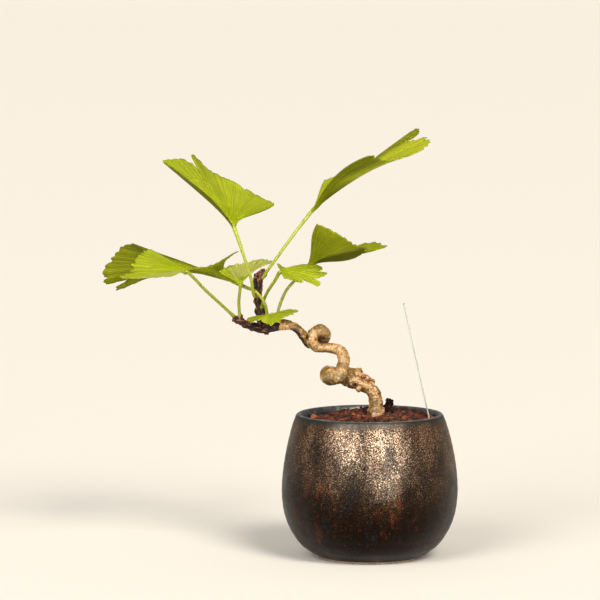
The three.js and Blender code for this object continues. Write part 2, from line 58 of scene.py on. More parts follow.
def fillSocket(material, socket, value):
    # a node links its first output, an output links itself, and anything else is the socket's own value
    if isinstance(value, bpy.types.Node):
        value = value.outputs[0]
    if isinstance(value, bpy.types.NodeSocket):
        material.node_tree.links.new(value, socket)
    else:
        socket.default_value = linear(value) if isinstance(value, str) else value


def addNode(material, kind, inputs=(), stops=None, **settings):
    # inputs are named in a dictionary, or listed in the order of the node's sockets; stops colour a ramp
    made = material.node_tree.nodes.new("ShaderNode" + kind)
    for name, value in settings.items():
        setattr(made, name, value)
    for socket, value in inputs.items() if isinstance(inputs, dict) else enumerate(inputs):
        fillSocket(material, made.inputs[socket], value)
    for i, (place, colour) in enumerate((stops or {}).items()):
        elements = made.color_ramp.elements
        element = elements[i] if i < 2 else elements.new(place)
        element.position = place
        element.color = linear(colour)
    return made


def dress(material, **sockets):
    shader = material.node_tree.nodes["Principled BSDF"]
    for name, value in sockets.items():
        fillSocket(material, shader.inputs[name.replace("_", " ")], value)
    return material


def newMaterial(name, **constants):
    # the material, and the way to add nodes to it
    material = bpy.data.materials.new(name)
    material.use_nodes = True
    return dress(material, **constants), partial(addNode, material)


def addObject(name, data):
    made = bpy.data.objects.new(name, data)
    bpy.context.scene.collection.objects.link(made)
    return made


def meshFrom(shape, name):
    data = bpy.data.meshes.new(name)
    shape.to_mesh(data)
    shape.free()
    return data


def pointAlong(points, share):
    # a smooth curve through the points, share from 0 at the first to 1 at the last
    spans = len(points) - 1
    place = clamp(share) * spans
    i = min(int(place), spans - 1)
    w = place - i
    here, there = Vector(points[i]), Vector(points[i + 1])
    before = Vector(points[i - 1]) if i > 0 else 2 * here - there
    after = Vector(points[i + 2]) if i + 2 <= spans else 2 * there - here
    leave, arrive = (there - before) / 2, (after - here) / 2
    curve = (2 * here - 2 * there + leave + arrive) * w + (3 * there - 3 * here - 2 * leave - arrive)
    return curve * w * w + leave * w + here


def lengthOf(points):
    return sum((Vector(a[:3]) - Vector(b[:3])).length for a, b in zip(points, points[1:]))


def newVerts(grown):
    return [part for part in grown if isinstance(part, bmesh.types.BMVert)]


def addTube(shape, path, radii, sides):
    # a circle drawn along the path by extruding its cap, with a new radius at every step
    across = (path[1] - path[0]).orthogonal().normalized()
    places = []
    for i, point in enumerate(path):
        heading = (path[min(i + 1, len(path) - 1)] - path[max(i - 1, 0)]).normalized()
        across = (across - heading * across.dot(heading)).normalized()
        turn = Matrix((across, heading.cross(across), heading)).transposed().to_4x4()
        places.append(Matrix.Translation(point) @ turn @ Matrix.Diagonal((radii[i], radii[i], radii[i], 1)))
    ring = bmesh.ops.create_circle(shape, cap_ends=True, segments=sides, radius=1, matrix=places[0])["verts"]
    cap = ring[0].link_faces[0]
    made = list(ring)
    for before, after in zip(places, places[1:]):
        grown = bmesh.ops.extrude_face_region(shape, geom=[cap, *cap.edges])["geom"]
        verts = newVerts(grown)
        bmesh.ops.transform(shape, matrix=after @ before.inverted(), verts=verts)
        cap = next(part for part in grown if isinstance(part, bmesh.types.BMFace))
        made += verts
    return made


def addLimb(shape, points, steps, sides):
    # a tube through [x, y, z, radius] points; gives back the places it went through
    path = [pointAlong(points, i / steps) for i in range(steps + 1)]
    addTube(shape, [p.xyz for p in path], [p.w for p in path], sides)
    return path


def spinOutline(outline, turns):
    # a closed body turned from an outline of [radius, height] points
    shape = bmesh.new()
    line = [shape.verts.new((r, 0, z)) for r, z in outline]
    edges = [shape.edges.new(pair) for pair in zip(line, line[1:])]
    bmesh.ops.spin(shape, geom=line + edges, cent=(0, 0, 0), axis=(0, 0, 1), angle=2 * math.pi,
                   steps=turns, use_merge=True)
    bmesh.ops.remove_doubles(shape, verts=shape.verts, dist=0.001)
    bmesh.ops.recalc_face_normals(shape, faces=shape.faces)
    return shape


def afterModifier(shape, kind, **settings):
    # the shape with one modifier applied
    work = addObject("work", meshFrom(shape, "work"))
    modifier = work.modifiers.new("step", kind)
    for name, value in settings.items():
        setattr(modifier, name, value)
    result = bmesh.new()
    result.from_mesh(work.evaluated_get(bpy.context.evaluated_depsgraph_get()).to_mesh())
    bpy.data.objects.remove(work)
    return result


def finishPiece(name, shape, materials, nodes, sharpAngle=None):
    bmesh.ops.scale(shape, vec=Vector((mm, mm, mm)), verts=shape.verts)
    data = meshFrom(shape, name)
    for material in materials:
        data.materials.append(material)
    data.shade_smooth()
    if sharpAngle:
        data.set_sharp_from_angle(angle=math.radians(sharpAngle))
    piece = addObject(name, data)
    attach(piece, "root")
    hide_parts(*nodes)
    print(name, len(data.polygons), "faces")


# camera, light and floor

studio = {
    "eye": (-27.8, -1331.7, 221.7),  # mm
    "pitch": 5.1,  # degrees below the horizon
    "lens": 202,  # mm, on a 36 mm sensor
    "floor": ["#eee9df", "#f1ede5"],
    "floorRadius": 3000,  # m
    "sky": "#fffaf5",
    "skyStrength": 0.33,
    "lamps": [  # name, degrees to the right of the camera, degrees up, spread in degrees, strength, colour
        ("key", 28, 38, 24, 2.75, "#fff8ee"),
        ("fill", -34, 30, 34, 1.75, "#fffbf5"),
    ],
    "softboxDistance": 1.2,  # m
    "softboxes": [  # name, degrees right and up, width and height in m, watts; they light gloss alone
        ("tallRight", 24, 15, 0.28, 0.5, 44),
        ("tallLeft", -29, 28, 0.2, 0.45, 30),
    ],
}


def makeStudio():
    camera = addObject("camera", bpy.data.cameras.new("camera"))
    camera.location = Vector(studio["eye"]) * mm
    camera.rotation_euler = (math.radians(90 - studio["pitch"]), 0, 0)
    camera.data.lens = studio["lens"]
    camera.data.clip_end = 2 * studio["floorRadius"]
    bpy.context.scene.camera = camera

    for name, right, up, spread, strength, colour in studio["lamps"]:
        lamp = addObject(name, bpy.data.lights.new(name, "SUN"))
        lamp.data.angle = math.radians(spread)
        lamp.data.energy = strength
        lamp.data.color = linear(colour)[:3]
        lamp.rotation_euler = (math.radians(90 - up), 0, math.radians(right))

    for name, right, up, wide, tall, watts in studio["softboxes"]:
        box = addObject(name, bpy.data.lights.new(name, "AREA"))
        box.data.shape = "RECTANGLE"
        box.data.size, box.data.size_y = wide, tall
        box.data.energy = watts
        box.rotation_euler = (math.radians(90 - up), 0, math.radians(right))
        box.location = box.rotation_euler.to_matrix() @ Vector((0, 0, studio["softboxDistance"]))
        box.visible_diffuse = False

    world = bpy.data.worlds.new("studio")
    world.use_nodes = True
    sky = world.node_tree.nodes["Background"]
    sky.inputs["Color"].default_value = linear(studio["sky"])
    sky.inputs["Strength"].default_value = studio["skyStrength"]
    bpy.context.scene.world = world
    bpy.context.scene.view_settings.view_transform = "Standard"

    paper, add = newMaterial("seamlessPaper", Roughness=0.9)  # matt backdrop paper, a faint tooth
    grain = add("TexNoise", {"Scale": 1 / (60 * mm), "Detail": 2})
    tint = add("ValToRGB", [grain], {0.3: studio["floor"][0], 0.7: studio["floor"][1]})
    dress(paper, Base_Color=tint)
    ground = bmesh.new()
    bmesh.ops.create_circle(ground, cap_ends=True, segments=64, radius=studio["floorRadius"])
    floor = addObject("floor", meshFrom(ground, "floor"))
    floor.data.materials.append(paper)


makeStudio()
print("studio ready")


# pot: thrown stoneware under a dark metallic glaze

potShape = {
    "outside": [  # [radius, height] in mm, from the foot up and over the lip
        [20.6, 0], [21.1, 1.0], [24.3, 2.8], [27.5, 5.2], [30.2, 8.8], [32.6, 13.2], [34.3, 18.5],
        [35.0, 24], [35.1, 28.5], [34.6, 35], [33.7, 41], [32.4, 47.2], [31.1, 52], [30.0, 55.2],
        [29.2, 57.0], [28.3, 57.6], [27.3, 57.0], [26.7, 55.4],
    ],
    "inside": [
        [26.9, 53], [28.6, 47], [30.1, 40], [31.0, 33], [31.2, 27], [30.2, 20], [27.6, 13], [23.5, 8],
        [18.5, 5.6], [16.5, 5.0],
    ],
    "top": 57.6, "rim": 57.2,  # the inner glaze takes over from the outer one at the rim
    "footDisc": [0, 6, 12, 17], "floorDisc": [12, 6, 0],  # radii of the rings that close the bottom
    "flat": (18, 8),  # inside this radius and under this height the bottom stays true
    "steps": 5,  # between two outline points
    "turns": 180,
    "throwingMark": 0.03,  # height of the finger marks
    "wander": 0.14,  # how far the wall leaves a true circle
    "drain": {"radius": 2.5, "circle": 10, "count": 3, "cut": 10},  # cut is the length of the drill
    "glazeEdge": 1.0,  # the glaze stops this far above the foot
    "bareFloor": (14, 4.9),  # inside this radius and under this height, at the drain holes, the clay is bare
    "sharp": 50,  # degrees, past which an edge stays crisp
}


def glazeMaterial():
    # iron-rich lustre glaze, fired: near black, a silvery-brown bloom on the shoulder broken by fine dark
    # pits, blue-grey and rust clouds where it ran thin, rust under the lip
    glaze, add = newMaterial("lustreGlaze", IOR=1.6, Specular_IOR_Level=0.25)
    top = potShape["top"] * mm
    place = add("TexCoord").outputs["Object"]
    height = add("SeparateXYZ", [place]).outputs["Z"]
    cloud = add("TexNoise", {"Vector": place, "Scale": 1 / (11 * mm), "Detail": 6, "Roughness": 0.65})
    lift = add("Math", [cloud, 0.5], operation="SUBTRACT")
    shift = add("Math", [lift, 34 * mm, height], operation="MULTIPLY_ADD")
    level = add("MapRange", [shift, 0, top])  # 0 at the foot, 1 at the rim, clouded
    body = add("ValToRGB", [level], {
        0: "#0e0603", 0.25: "#160b05", 0.42: "#21140a", 0.58: "#2c1c0f", 0.76: "#3a2716", 0.9: "#432a15",
        1: "#38230f",
    })
    drips = add("Mapping", {"Vector": place, "Scale": (1, 1, 0.45)})
    drift = add("TexNoise", {"Vector": drips, "Scale": 1 / (6 * mm), "Detail": 5, "Roughness": 0.7})
    rust = add("MapRange", [drift, 0.55, 0.68, 0, 0.9])
    rusty = add("MixRGB", [rust, body, "#552a12"])
    blue = add("MapRange", [drift, 0.44, 0.34, 0, 0.8])
    clouded = add("MixRGB", [blue, rusty, "#1d2224"])
    wave = add("Math", [lift, 5 * mm, height], operation="MULTIPLY_ADD")
    shoulder = add("MapRange", [wave, 50 * mm, top])
    fringe = add("ValToRGB", [shoulder],  # how much rust shows in the band under the lip
                 {0: "#000000", 0.22: "#707070", 0.5: "#8a8a8a", 0.72: "#101010", 1: "#000000"})
    patchy = add("MapRange", [drift, 0.42, 0.58])
    patched = add("MixRGB", [1, fringe, patchy], blend_type="MULTIPLY")
    fringed = add("MixRGB", [patched, clouded, "#5c2f16"])
    lip = add("MapRange", [wave, 53.8 * mm, 56.4 * mm])
    lipped = add("MixRGB", [lip, fringed, "#1c1f20"])
    fleck = add("TexNoise", {"Vector": place, "Scale": 1 / (0.42 * mm), "Detail": 4, "Roughness": 0.75})
    pit = add("MapRange", [fleck, 0.53, 0.42, 0, 1])
    clear = add("Math", [1, lip], operation="SUBTRACT")  # the lip has no flecks
    pits = add("Math", [pit, clear], operation="MULTIPLY")
    pitted = add("MixRGB", [pits, lipped, "#0d0806"])
    lustre = add("ValToRGB", [level], {
        0: "#1c1410", 0.3: "#4a3b31", 0.46: "#8a7867", 0.6: "#f2dcc0", 0.85: "#fff0dc", 1: "#f0e2cc",
    })
    cloudier = add("MapRange", [drift, 0.36, 0.56, 0.35, 1])
    dulled = add("MixRGB", [1, lustre, cloudier], blend_type="MULTIPLY")
    broken = add("MixRGB", [pits, dulled, "#1c1511"])
    rough = add("MapRange", [cloud, 0.35, 0.65, 0.5, 0.36])
    bloom = add("MapRange", [level, 0.36, 0.8, 0, 0.12])
    bloomed = add("Math", [bloom, cloudier], operation="MULTIPLY")
    crowded = add("Math", [fleck, bloomed])
    spark = add("MapRange", [crowded, 0.64, 0.72, 0, 0.85])  # flecks crowd where the bloom is
    metal = add("Math", [spark, clear], operation="MULTIPLY")
    final = add("MixRGB", [metal, pitted, "#ad9376"])
    bump = add("Bump", {"Strength": 0.7, "Distance": 0.06 * mm, "Height": fleck})
    return dress(glaze, Base_Color=final, Specular_Tint=broken, Roughness=rough, Metallic=metal, Normal=bump)


def innerGlazeMaterial():
    # the same glaze run thin over the lip and the inner wall: slate grey, satin, worn paler on the edge
    slate, add = newMaterial("slateGlaze", IOR=1.6)
    place = add("TexCoord").outputs["Object"]
    height = add("SeparateXYZ", [place]).outputs["Z"]
    cloud = add("TexNoise", {"Vector": place, "Scale": 1 / (3.5 * mm), "Detail": 5, "Roughness": 0.65})
    tint = add("ValToRGB", [cloud],
               {0.38: "#0a0807", 0.46: "#151718", 0.54: "#2b3032", 0.6: "#5a605f", 0.68: "#6b482e"})
    worn = add("MapRange", [height, 56.9 * mm, potShape["top"] * mm, 0, 0.45])
    final = add("MixRGB", [worn, tint, "#6d6a63"])
    rough = add("MapRange", [cloud, 0.35, 0.65, 0.5, 0.32])
    bump = add("Bump", {"Strength": 0.5, "Distance": 0.2 * mm, "Height": cloud})
    return dress(slate, Base_Color=final, Roughness=rough, Normal=bump)


def stonewareMaterial():
    # bare fired clay at the foot: dry, pale grey-brown with iron specks
    clay, add = newMaterial("bareStoneware", Roughness=0.88, IOR=1.5)
    place = add("TexCoord").outputs["Object"]
    speck = add("TexNoise", {"Vector": place, "Scale": 1 / (0.7 * mm), "Detail": 3})
    tint = add("ValToRGB", [speck], {0.3: "#3b2a20", 0.35: "#6d5848", 0.65: "#a08a74"})
    bump = add("Bump", {"Strength": 0.4, "Distance": 0.1 * mm, "Height": speck})
    return dress(clay, Base_Color=tint, Normal=bump)


def makePot():
    outline = potShape["outside"] + potShape["inside"]
    count = (len(outline) - 1) * potShape["steps"]
    wall = [pointAlong(outline, i / count) for i in range(count + 1)]
    foot = [(r, 0) for r in potShape["footDisc"]]
    floor = [(r, outline[-1][1]) for r in potShape["floorDisc"]]
    pot = spinOutline(foot + wall + floor, potShape["turns"])
    flatRadius, flatHeight = potShape["flat"]
    for vert in pot.verts:
        radius = math.hypot(vert.co.x, vert.co.y)
        if radius < flatRadius and vert.co.z < flatHeight:
            continue
        around = Vector((vert.co.x, vert.co.y, 0)) / radius
        swell = potShape["wander"] * noise.noise(Vector((around.x, around.y, vert.co.z / 25)))
        mark = potShape["throwingMark"] * math.sin(vert.co.z * 1.9 + 1.5 * noise.noise(around * 1.5))
        vert.co += around * (swell + mark) * min(vert.co.z / 3, 1)

    drain = potShape["drain"]
    cutters = bmesh.new()
    for hole in range(drain["count"]):
        angle = (hole + 0.25) / drain["count"] * 2 * math.pi
        place = Vector((drain["circle"] * math.cos(angle), drain["circle"] * math.sin(angle), 2))
        bmesh.ops.create_cone(cutters, cap_ends=True, segments=32, radius1=drain["radius"],
                              radius2=drain["radius"], depth=drain["cut"], matrix=Matrix.Translation(place))
    cutter = addObject("drainCutter", meshFrom(cutters, "drainCutter"))
    pot = afterModifier(pot, "BOOLEAN", operation="DIFFERENCE", object=cutter, solver="EXACT")
    bpy.data.objects.remove(cutter)

    bareRadius, bareHeight = potShape["bareFloor"]
    for face in pot.faces:
        middle = face.calc_center_median()
        inwards = face.normal.dot(Vector((middle.x, middle.y, 0))) < 0
        bare = middle.z < potShape["glazeEdge"]
        bare = bare or middle.z < bareHeight and math.hypot(*middle.xy) < bareRadius
        inner = middle.z > bareHeight and inwards or middle.z > potShape["rim"]
        face.material_index = 1 if bare else 2 if inner else 0
    skins = [glazeMaterial(), stonewareMaterial(), innerGlazeMaterial()]
    finishPiece("pot_glazed", pot, skins, ["pot"], potShape["sharp"])


makePot()


# soil: fired clay granules over a near-black bed that paints the shade in the gaps between them

soilShape = {
    "top": 57.3,
    "right": 0.05, "back": 0.07,  # rise per mm towards +X and +Y
    "mound": 3.1,
    "radius": 26.2,
    "bed": [  # [radius, height] of the body under the grains, up along the pot's wall
        (0, 6.4), (16, 6.4), (23, 8.4), (29.6, 20.2), (30.7, 33), (28.2, 47), (26.6, 51.4), (26.4, 52.2),
    ],
    # the bed's near-black colour is painted shade for the gaps between the grains
    "bedTop": 55, "bedRings": 16, "bedTurns": 72, "bedDepth": 1.4, "bedShadeColour": "#170c09",
    "layers": [  # grains, smallest and largest radius, how far under or over the level
        (300, 1.2, 2.0, -0.6), (240, 0.9, 1.7, 0.6), (150, 0.35, 0.7, 1.1),
    ],
    "colours": ["#51200d", "#682b14", "#7d3c1a", "#3d180d", "#5c2612", "#1f0e0a", "#8a4a22", "#4c3020"],
    "darkGrainsAndShadeFrom": (4, 6), "darkGrainsAndShade": 0.45,  # right of and behind this x and y the grains are darker: partly darker grains, partly painted shade
    "pale": [  # x, y, z, radius, colour of two single grains
        (-22.3, 8, 55.1, 1.3, "#a35622"), (-19.6, 10.5, 54.8, 1.0, "#74401e"),
    ],
    "kept": [(2.6, 0, 3.3), (7.2, 5.0, 1.6), (23.4, 0, 1.3)],  # x, y, radius of wood, chip and marker
    "sharp": 38,  # degrees
}


def soilLevel(x, y):
    out = math.hypot(x, y) / soilShape["radius"]
    return (soilShape["top"] - soilShape["mound"] * out * out + soilShape["right"] * x
            + soilShape["back"] * y)


def granuleMaterial():
    # low-fired volcanic clay broken to grains: dry, powdery, each grain its own red-brown
    clay, add = newMaterial("firedClayGranules", Roughness=0.95, IOR=1.45, Specular_IOR_Level=0.2)
    place = add("TexCoord").outputs["Object"]
    own = add("Attribute", attribute_name="grainColour")
    grit = add("TexNoise", {"Vector": place, "Scale": 1 / (0.5 * mm), "Detail": 4, "Roughness": 0.7})
    shade = add("MapRange", [grit, 0.3, 0.7, 0.55, 1.35])
    tint = add("MixRGB", [1, own, shade], blend_type="MULTIPLY")
    bump = add("Bump", {"Strength": 0.7, "Distance": 0.15 * mm, "Height": grit})
    return dress(clay, Base_Color=tint, Normal=bump)


def makeSoil():
    rings, radius = soilShape["bedRings"], soilShape["radius"]
    crown = [(radius - radius * i / rings, soilShape["bedTop"]) for i in range(1, rings + 1)]
    soil = spinOutline(soilShape["bed"] + crown, soilShape["bedTurns"])
    paint = soil.verts.layers.float_color.new("grainColour")
    for vert in soil.verts:
        if vert.co.z > soilShape["bedTop"] - 1:
            dip = soilShape["bedDepth"]
            vert.co.z = soilLevel(vert.co.x, vert.co.y) - dip + 0.5 * noise.noise(vert.co / 1.5)
        # painted shade: the bed under the grains is near black, so the gaps between grains read as shadow
        vert[paint] = linear(soilShape["bedShadeColour"])
    grains = []
    for count, smallest, largest, lift in soilShape["layers"]:
        for i in range(count):
            size = chance.uniform(smallest, largest)
            out = (radius - size) * math.sqrt((i + 0.5) / count)
            angle = i * math.pi * (3 - math.sqrt(5)) + chance.uniform(-0.3, 0.3)  # as seeds sit in a flower
            x, y = out * math.cos(angle), out * math.sin(angle)
            z = soilLevel(x, y) + lift * chance.uniform(0.2, 1) - size * 0.5
            colour = Vector(linear(chance.choice(soilShape["colours"]))) * chance.uniform(0.5, 1.15)
            # partly darker grains, partly painted shade behind and right of the chip
            if x > soilShape["darkGrainsAndShadeFrom"][0] and y > soilShape["darkGrainsAndShadeFrom"][1]:
                colour *= soilShape["darkGrainsAndShade"]
            if all(math.hypot(x - sx, y - sy) > r + 0.75 * size for sx, sy, r in soilShape["kept"]):
                grains.append((x, y, z, size, colour))
    grains += [(x, y, z, size, Vector(linear(colour))) for x, y, z, size, colour in soilShape["pale"]]
    for x, y, z, size, colour in grains:
        stretch = (1, chance.uniform(0.65, 1), chance.uniform(0.6, 0.95))
        spin = [chance.uniform(0, 2 * math.pi) for _ in range(3)]
        verts = bmesh.ops.create_icosphere(soil, subdivisions=2 if size > 0.8 else 1, radius=size)["verts"]
        seed = Vector(spin) * 7
        for vert in verts:
            vert.co *= 1 + 0.5 * noise.noise(vert.co / size * 1.5 + seed)
            vert[paint] = (*colour[:3], 1)
        bmesh.ops.scale(soil, vec=Vector(stretch), verts=verts)
        turn = Matrix.Rotation(spin[0], 4, "Z") @ Matrix.Rotation(0.6 * math.sin(spin[1]), 4, "X")
        bmesh.ops.transform(soil, matrix=Matrix.Translation((x, y, z)) @ turn, verts=verts)
    finishPiece("soil_granules", soil, [granuleMaterial()], ["soil"], soilShape["sharp"])


makeSoil()


# trunk: young pale bark on the living stem, dark rough bark on the older end and the spur

trunkShape = {
    "paths": {  # points are [x, y, z, radius] in mm
        "base": [
            [2.6, 0, 39, 2.9], [2.6, 0, 48, 2.9], [2.6, 0, 54, 2.9], [2.6, 0, 57.4, 3.25],
            [2.5, 0, 59.2, 3.05], [2.4, 0, 60.6, 2.6], [2.3, 0, 62.2, 2.45],
        ],
        "rise": [
            [2.4, 0, 60.6, 2.6], [2.3, 0, 62.2, 2.45], [1.4, 0, 65.5, 2.5], [-0.8, 0, 68.4, 2.8],
            [-3.6, 0.6, 70.2, 3.3], [-6.6, 1.8, 71.2, 3.8], [-9.6, 3.6, 71.9, 3.4],
        ],
        "lowerKnot": [
            [-9.6, 3.6, 71.9, 3.4], [-12.6, 4.2, 72.4, 3.0], [-15.2, 3.2, 72.6, 3.3],
            [-16.1, 0.6, 72.7, 3.7], [-15.2, -2.4, 72.5, 3.3], [-12.8, -3.8, 72.7, 2.7],
            [-10.8, -3.2, 75.2, 2.4],
        ],
        "middle": [
            [-12.4, -3.7, 73.2, 2.4], [-10.9, -2.9, 76.2, 2.3], [-10.4, -1.4, 79.6, 2.25],
            [-11.6, -0.6, 82.4, 2.2], [-14.8, -0.7, 83.7, 1.9], [-18.4, -1.3, 83.9, 1.8],
            [-21.4, -2.1, 84.4, 1.85], [-23.4, -2.6, 86.6, 1.9],
        ],
        "upperKnot": [
            [-22.4, -2.3, 85.2, 1.85], [-23.2, -2.6, 87.4, 2.05], [-22.0, -2.3, 89.9, 2.3],
            [-19.9, -1.2, 90.8, 2.4], [-18.1, 0.4, 89.5, 2.3], [-18.2, 2.0, 87.1, 2.1],
            [-20.3, 3.0, 85.2, 2.0], [-23.4, 3.0, 84.7, 1.9],
        ],
        "branch": [
            [-21.4, 3.0, 84.8, 1.8], [-24.2, 2.7, 85.4, 1.8], [-26.4, 1.8, 88.4, 1.8],
            [-28.9, 1.0, 91.3, 1.7], [-31.6, 0.5, 92.6, 1.65], [-33.4, 0.3, 92.9, 2.1],
            [-35.4, 0.2, 92.8, 2.05], [-37.4, 0.2, 92.2, 1.75], [-42.0, 0, 91.5, 1.85],
            [-46.4, 0, 92.2, 1.65], [-50.2, 0, 93.6, 1.45], [-52.8, 0, 95.0, 1.45], [-54.2, 0, 96.0, 1.1],
        ],
        "spur": [
            [-43.2, 0.6, 91.6, 1.5], [-43.6, 1.0, 95.6, 1.6], [-43.7, 1.2, 98.8, 2.2],
            [-43.9, 1.2, 100.6, 1.7], [-44.4, 1.2, 103.6, 1.55], [-44.7, 1.2, 107.4, 1.7],
            [-44.6, 1.2, 110.4, 1.8], [-43.9, 1.0, 112.4, 1.7], [-43.1, 0.8, 113.6, 1.0],
        ],
        "stubA": [[-4.6, 0.4, 70.6, 2.2], [-4.9, 0.2, 73.2, 2.2], [-5.0, 0.2, 75.4, 1.4]],
        "stubB": [[-7.6, 0.6, 71.2, 2.2], [-8.0, 0.4, 73.6, 1.9], [-7.8, 0.4, 75.0, 1.1]],
        "stubC": [[0.2, 0.2, 69.0, 1.6], [1.0, 0, 70.2, 1.2], [1.6, -0.2, 70.7, 0.6]],
        "stubD": [[-4.2, -0.4, 68.2, 1.5], [-4.7, -0.8, 66.8, 1.0], [-4.9, -0.9, 66.1, 0.5]],
        "stubE": [[-41, 0, 91.0, 1.2], [-41.2, -0.2, 89.6, 0.8], [-41.3, -0.2, 89.0, 0.4]],
        "snagA": [
            [-5.2, -1.5, 73.0, 1.2], [-4.5, -1.9, 73.1, 0.7], [-3.8, -2.0, 72.9, 1.15],
            [-3.1, -2.1, 72.8, 0.65], [-2.4, -2.1, 72.6, 1.1], [-1.7, -2.0, 72.3, 0.6],
            [-1.0, -1.9, 72.0, 0.95], [-0.3, -1.8, 71.7, 0.5], [0.4, -1.6, 71.4, 0.8],
            [1.0, -1.5, 71.1, 0.4], [1.6, -1.3, 70.7, 0.5],
        ],
        "snagB": [[-5.8, -1.0, 73.6, 1.2], [-3.6, -1.4, 74.0, 0.9], [-2.6, -1.5, 73.8, 0.5]],
        "burlA": [[4.0, -1.2, 57.8, 1.3], [4.9, -1.5, 58.7, 1.0], [5.2, -1.6, 59.4, 0.6]],
        "burlB": [[0.9, -1.6, 57.8, 1.3], [0.0, -2.1, 58.6, 1.0], [-0.2, -2.3, 59.2, 0.6]],
        "burlC": [[2.6, -1.9, 57.8, 1.2], [2.8, -2.7, 58.8, 0.9], [2.8, -2.9, 59.4, 0.5]],
        "eye": [[-21.6, -0.2, 88.2, 1.5], [-20.2, 0.4, 89.2, 1.6], [-18.8, 1.6, 89.2, 1.4]],
        "budStubA": [[-51.0, -0.1, 94.2, 1.1], [-51.3, -0.3, 95.8, 1.0], [-51.3, -0.4, 96.8, 0.7]],
    },
    "main": ["base", "rise", "lowerKnot", "middle", "upperKnot", "branch"],  # one after the other
    "step": 0.35, "sides": 20,  # of the tubes
    "voxel": 0.24, "smoothings": 3,
    "oldFrom": -35.9, "oldOver": 0.9,  # left of this x the bark is old, and how far it takes to turn
    "ringSpacing": 1.25,
    "ringHeight": 0.17,
    "youngRelief": 0.3,
    "ruggedRelief": 0.55,  # on the base, the rise and the broken stubs
    "oldRelief": 0.6,
    "rugged": ("stub", "snag", "burl", "base", "rise"),
    "mossy": ("lowerKnot", "upperKnot", "base", "rise", "eye"),
    "plates": {"branch": (2.4, 0.85, 0.85), "spur": (0.85, 0.85, 2.4)},  # size of the old bark's plates
    "pitDepth": 0.3, "lineDepth": 0.16,
    "paleBarkAndLight": (-36.4, -24),  # the x range where the branch's bark is pale, with painted light against a leaf's shadow and less painted shade
    "creviceShadeReach": 1.7,  # how near two turns of the stem come where painted shade darkens the bark between them
    "turnSearch": 5.6, "turnApart": 11,  # stem this near, but this far along it, is another turn
    "shadedHollows": [  # x, y, z, radius: small hollows in the bark, darkened with painted shade
        (-9.7, -2.0, 69.0, 2.6), (-18.4, -1.0, 87.6, 1.1), (-16.9, -1.0, 86.0, 0.7), (-6.2, -2.2, 69.2, 1.2),
    ],
    "branchShadeStrip": [(-31.5, -23.5), 84.5, (-0.75, 0, -0.66)],  # a strip of the branch darkened with painted shade: its x range, lowest z, and facing
    "buds": [  # tip, the way it points, size, number of scales
        ((-43.0, 0.6, 113.0), (0.45, -0.1, 0.9), 2.0, 9), ((-44.9, 0.4, 111.9), (-0.35, -0.3, 0.9), 1.5, 6),
        ((-53.9, -0.2, 96.4), (-0.5, -0.2, 0.8), 0.8, 5), ((-51.3, -0.4, 96.6), (0.1, -0.3, 0.9), 0.8, 5),
    ],
}


def barkMaterial():
    # ginkgo bark: thin waxy tan cork with rings, rusty and mossy clouds, dark in its cracks, with painted
    # shade between turns of the stem, in hollows, underneath and on a strip of the branch, and painted light
    # on the pale branch bark; on old wood dark furrowed cork, paler on its ridges
    bark, add = newMaterial("ginkgoBark", IOR=1.45, Specular_IOR_Level=0.25)
    place = add("TexCoord").outputs["Object"]
    facts = add("Attribute", attribute_name="wood")
    age, ring, cracksAndShade = add("SeparateColor", [facts]).outputs
    green = facts.outputs["Alpha"]  # moss above 0, pale bark with painted light below
    cloud = add("TexNoise", {"Vector": place, "Scale": 1 / (4.5 * mm), "Detail": 5, "Roughness": 0.65})
    paleBarkAndLight = add("MapRange", [green, 0, -1, 0, -0.12])
    paler = add("Math", [cloud, paleBarkAndLight])
    young = add("ValToRGB", [paler], {
        0.3: "#543f16", 0.4: "#7f6028", 0.47: "#a67c40", 0.545: "#d5ad76", 0.62: "#9d6430", 0.72: "#6e350e",
    })
    moss = add("Math", [green, 0.7], operation="MULTIPLY")
    mossy = add("MixRGB", [moss, young, "#7c6a38"])
    fine = add("TexNoise", {"Vector": place, "Scale": 1 / (0.7 * mm), "Detail": 5, "Roughness": 0.7})
    ringLine = add("MapRange", [ring, 0, 0.5, 0.75, 0])
    ringed = add("MixRGB", [ringLine, mossy, "#5c3819"])
    grain = add("MapRange", [fine, 0.35, 0.65, 0.62, 1.22])
    # painted light: the pale branch bark is brightened up to half again, against the shadow a leaf casts on
    # it
    lifted = add("Math", [paleBarkAndLight, -4.5, 1], operation="MULTIPLY_ADD")
    lighter = add("Math", [grain, lifted], operation="MULTIPLY")
    grained = add("MixRGB", [1, ringed, lighter], blend_type="MULTIPLY")
    # this darkens real cracks and pores, and paints shade between turns, in hollows, underneath and on the
    # branch strip
    crackedAndShaded = add("MixRGB", [cracksAndShade, grained, "#2b1307"])
    ridge = add("MixRGB", [0.55, fine, ring])
    old = add("ValToRGB", [ridge],
              {0.32: "#080301", 0.45: "#220d04", 0.58: "#44200d", 0.7: "#79492a", 0.84: "#b0834f"})
    whole = add("MixRGB", [age, crackedAndShaded, old])
    waxy = add("MapRange", [cloud, 0.35, 0.6, 0.62, 0.36])
    rough = add("Math", [age, 0.5, waxy], operation="MULTIPLY_ADD", use_clamp=True)
    bump = add("Bump", {"Strength": 0.45, "Distance": 0.16 * mm, "Height": fine})
    return dress(bark, Base_Color=whole, Roughness=rough, Normal=bump)


def budScaleMaterial():
    # dry papery bud scales: red-brown, paler at their edges, a slight shine
    scale, add = newMaterial("budScale", Roughness=0.6, IOR=1.45, Specular_IOR_Level=0.25)
    place = add("TexCoord").outputs["Object"]
    streak = add("TexNoise", {"Vector": place, "Scale": 1 / (0.9 * mm), "Detail": 3})
    tint = add("ValToRGB", [streak], {0.36: "#220904", 0.48: "#4c1a0b", 0.58: "#84401e", 0.7: "#c98f60"})
    bump = add("Bump", {"Strength": 0.4, "Distance": 0.1 * mm, "Height": streak})
    return dress(scale, Base_Color=tint, Normal=bump)


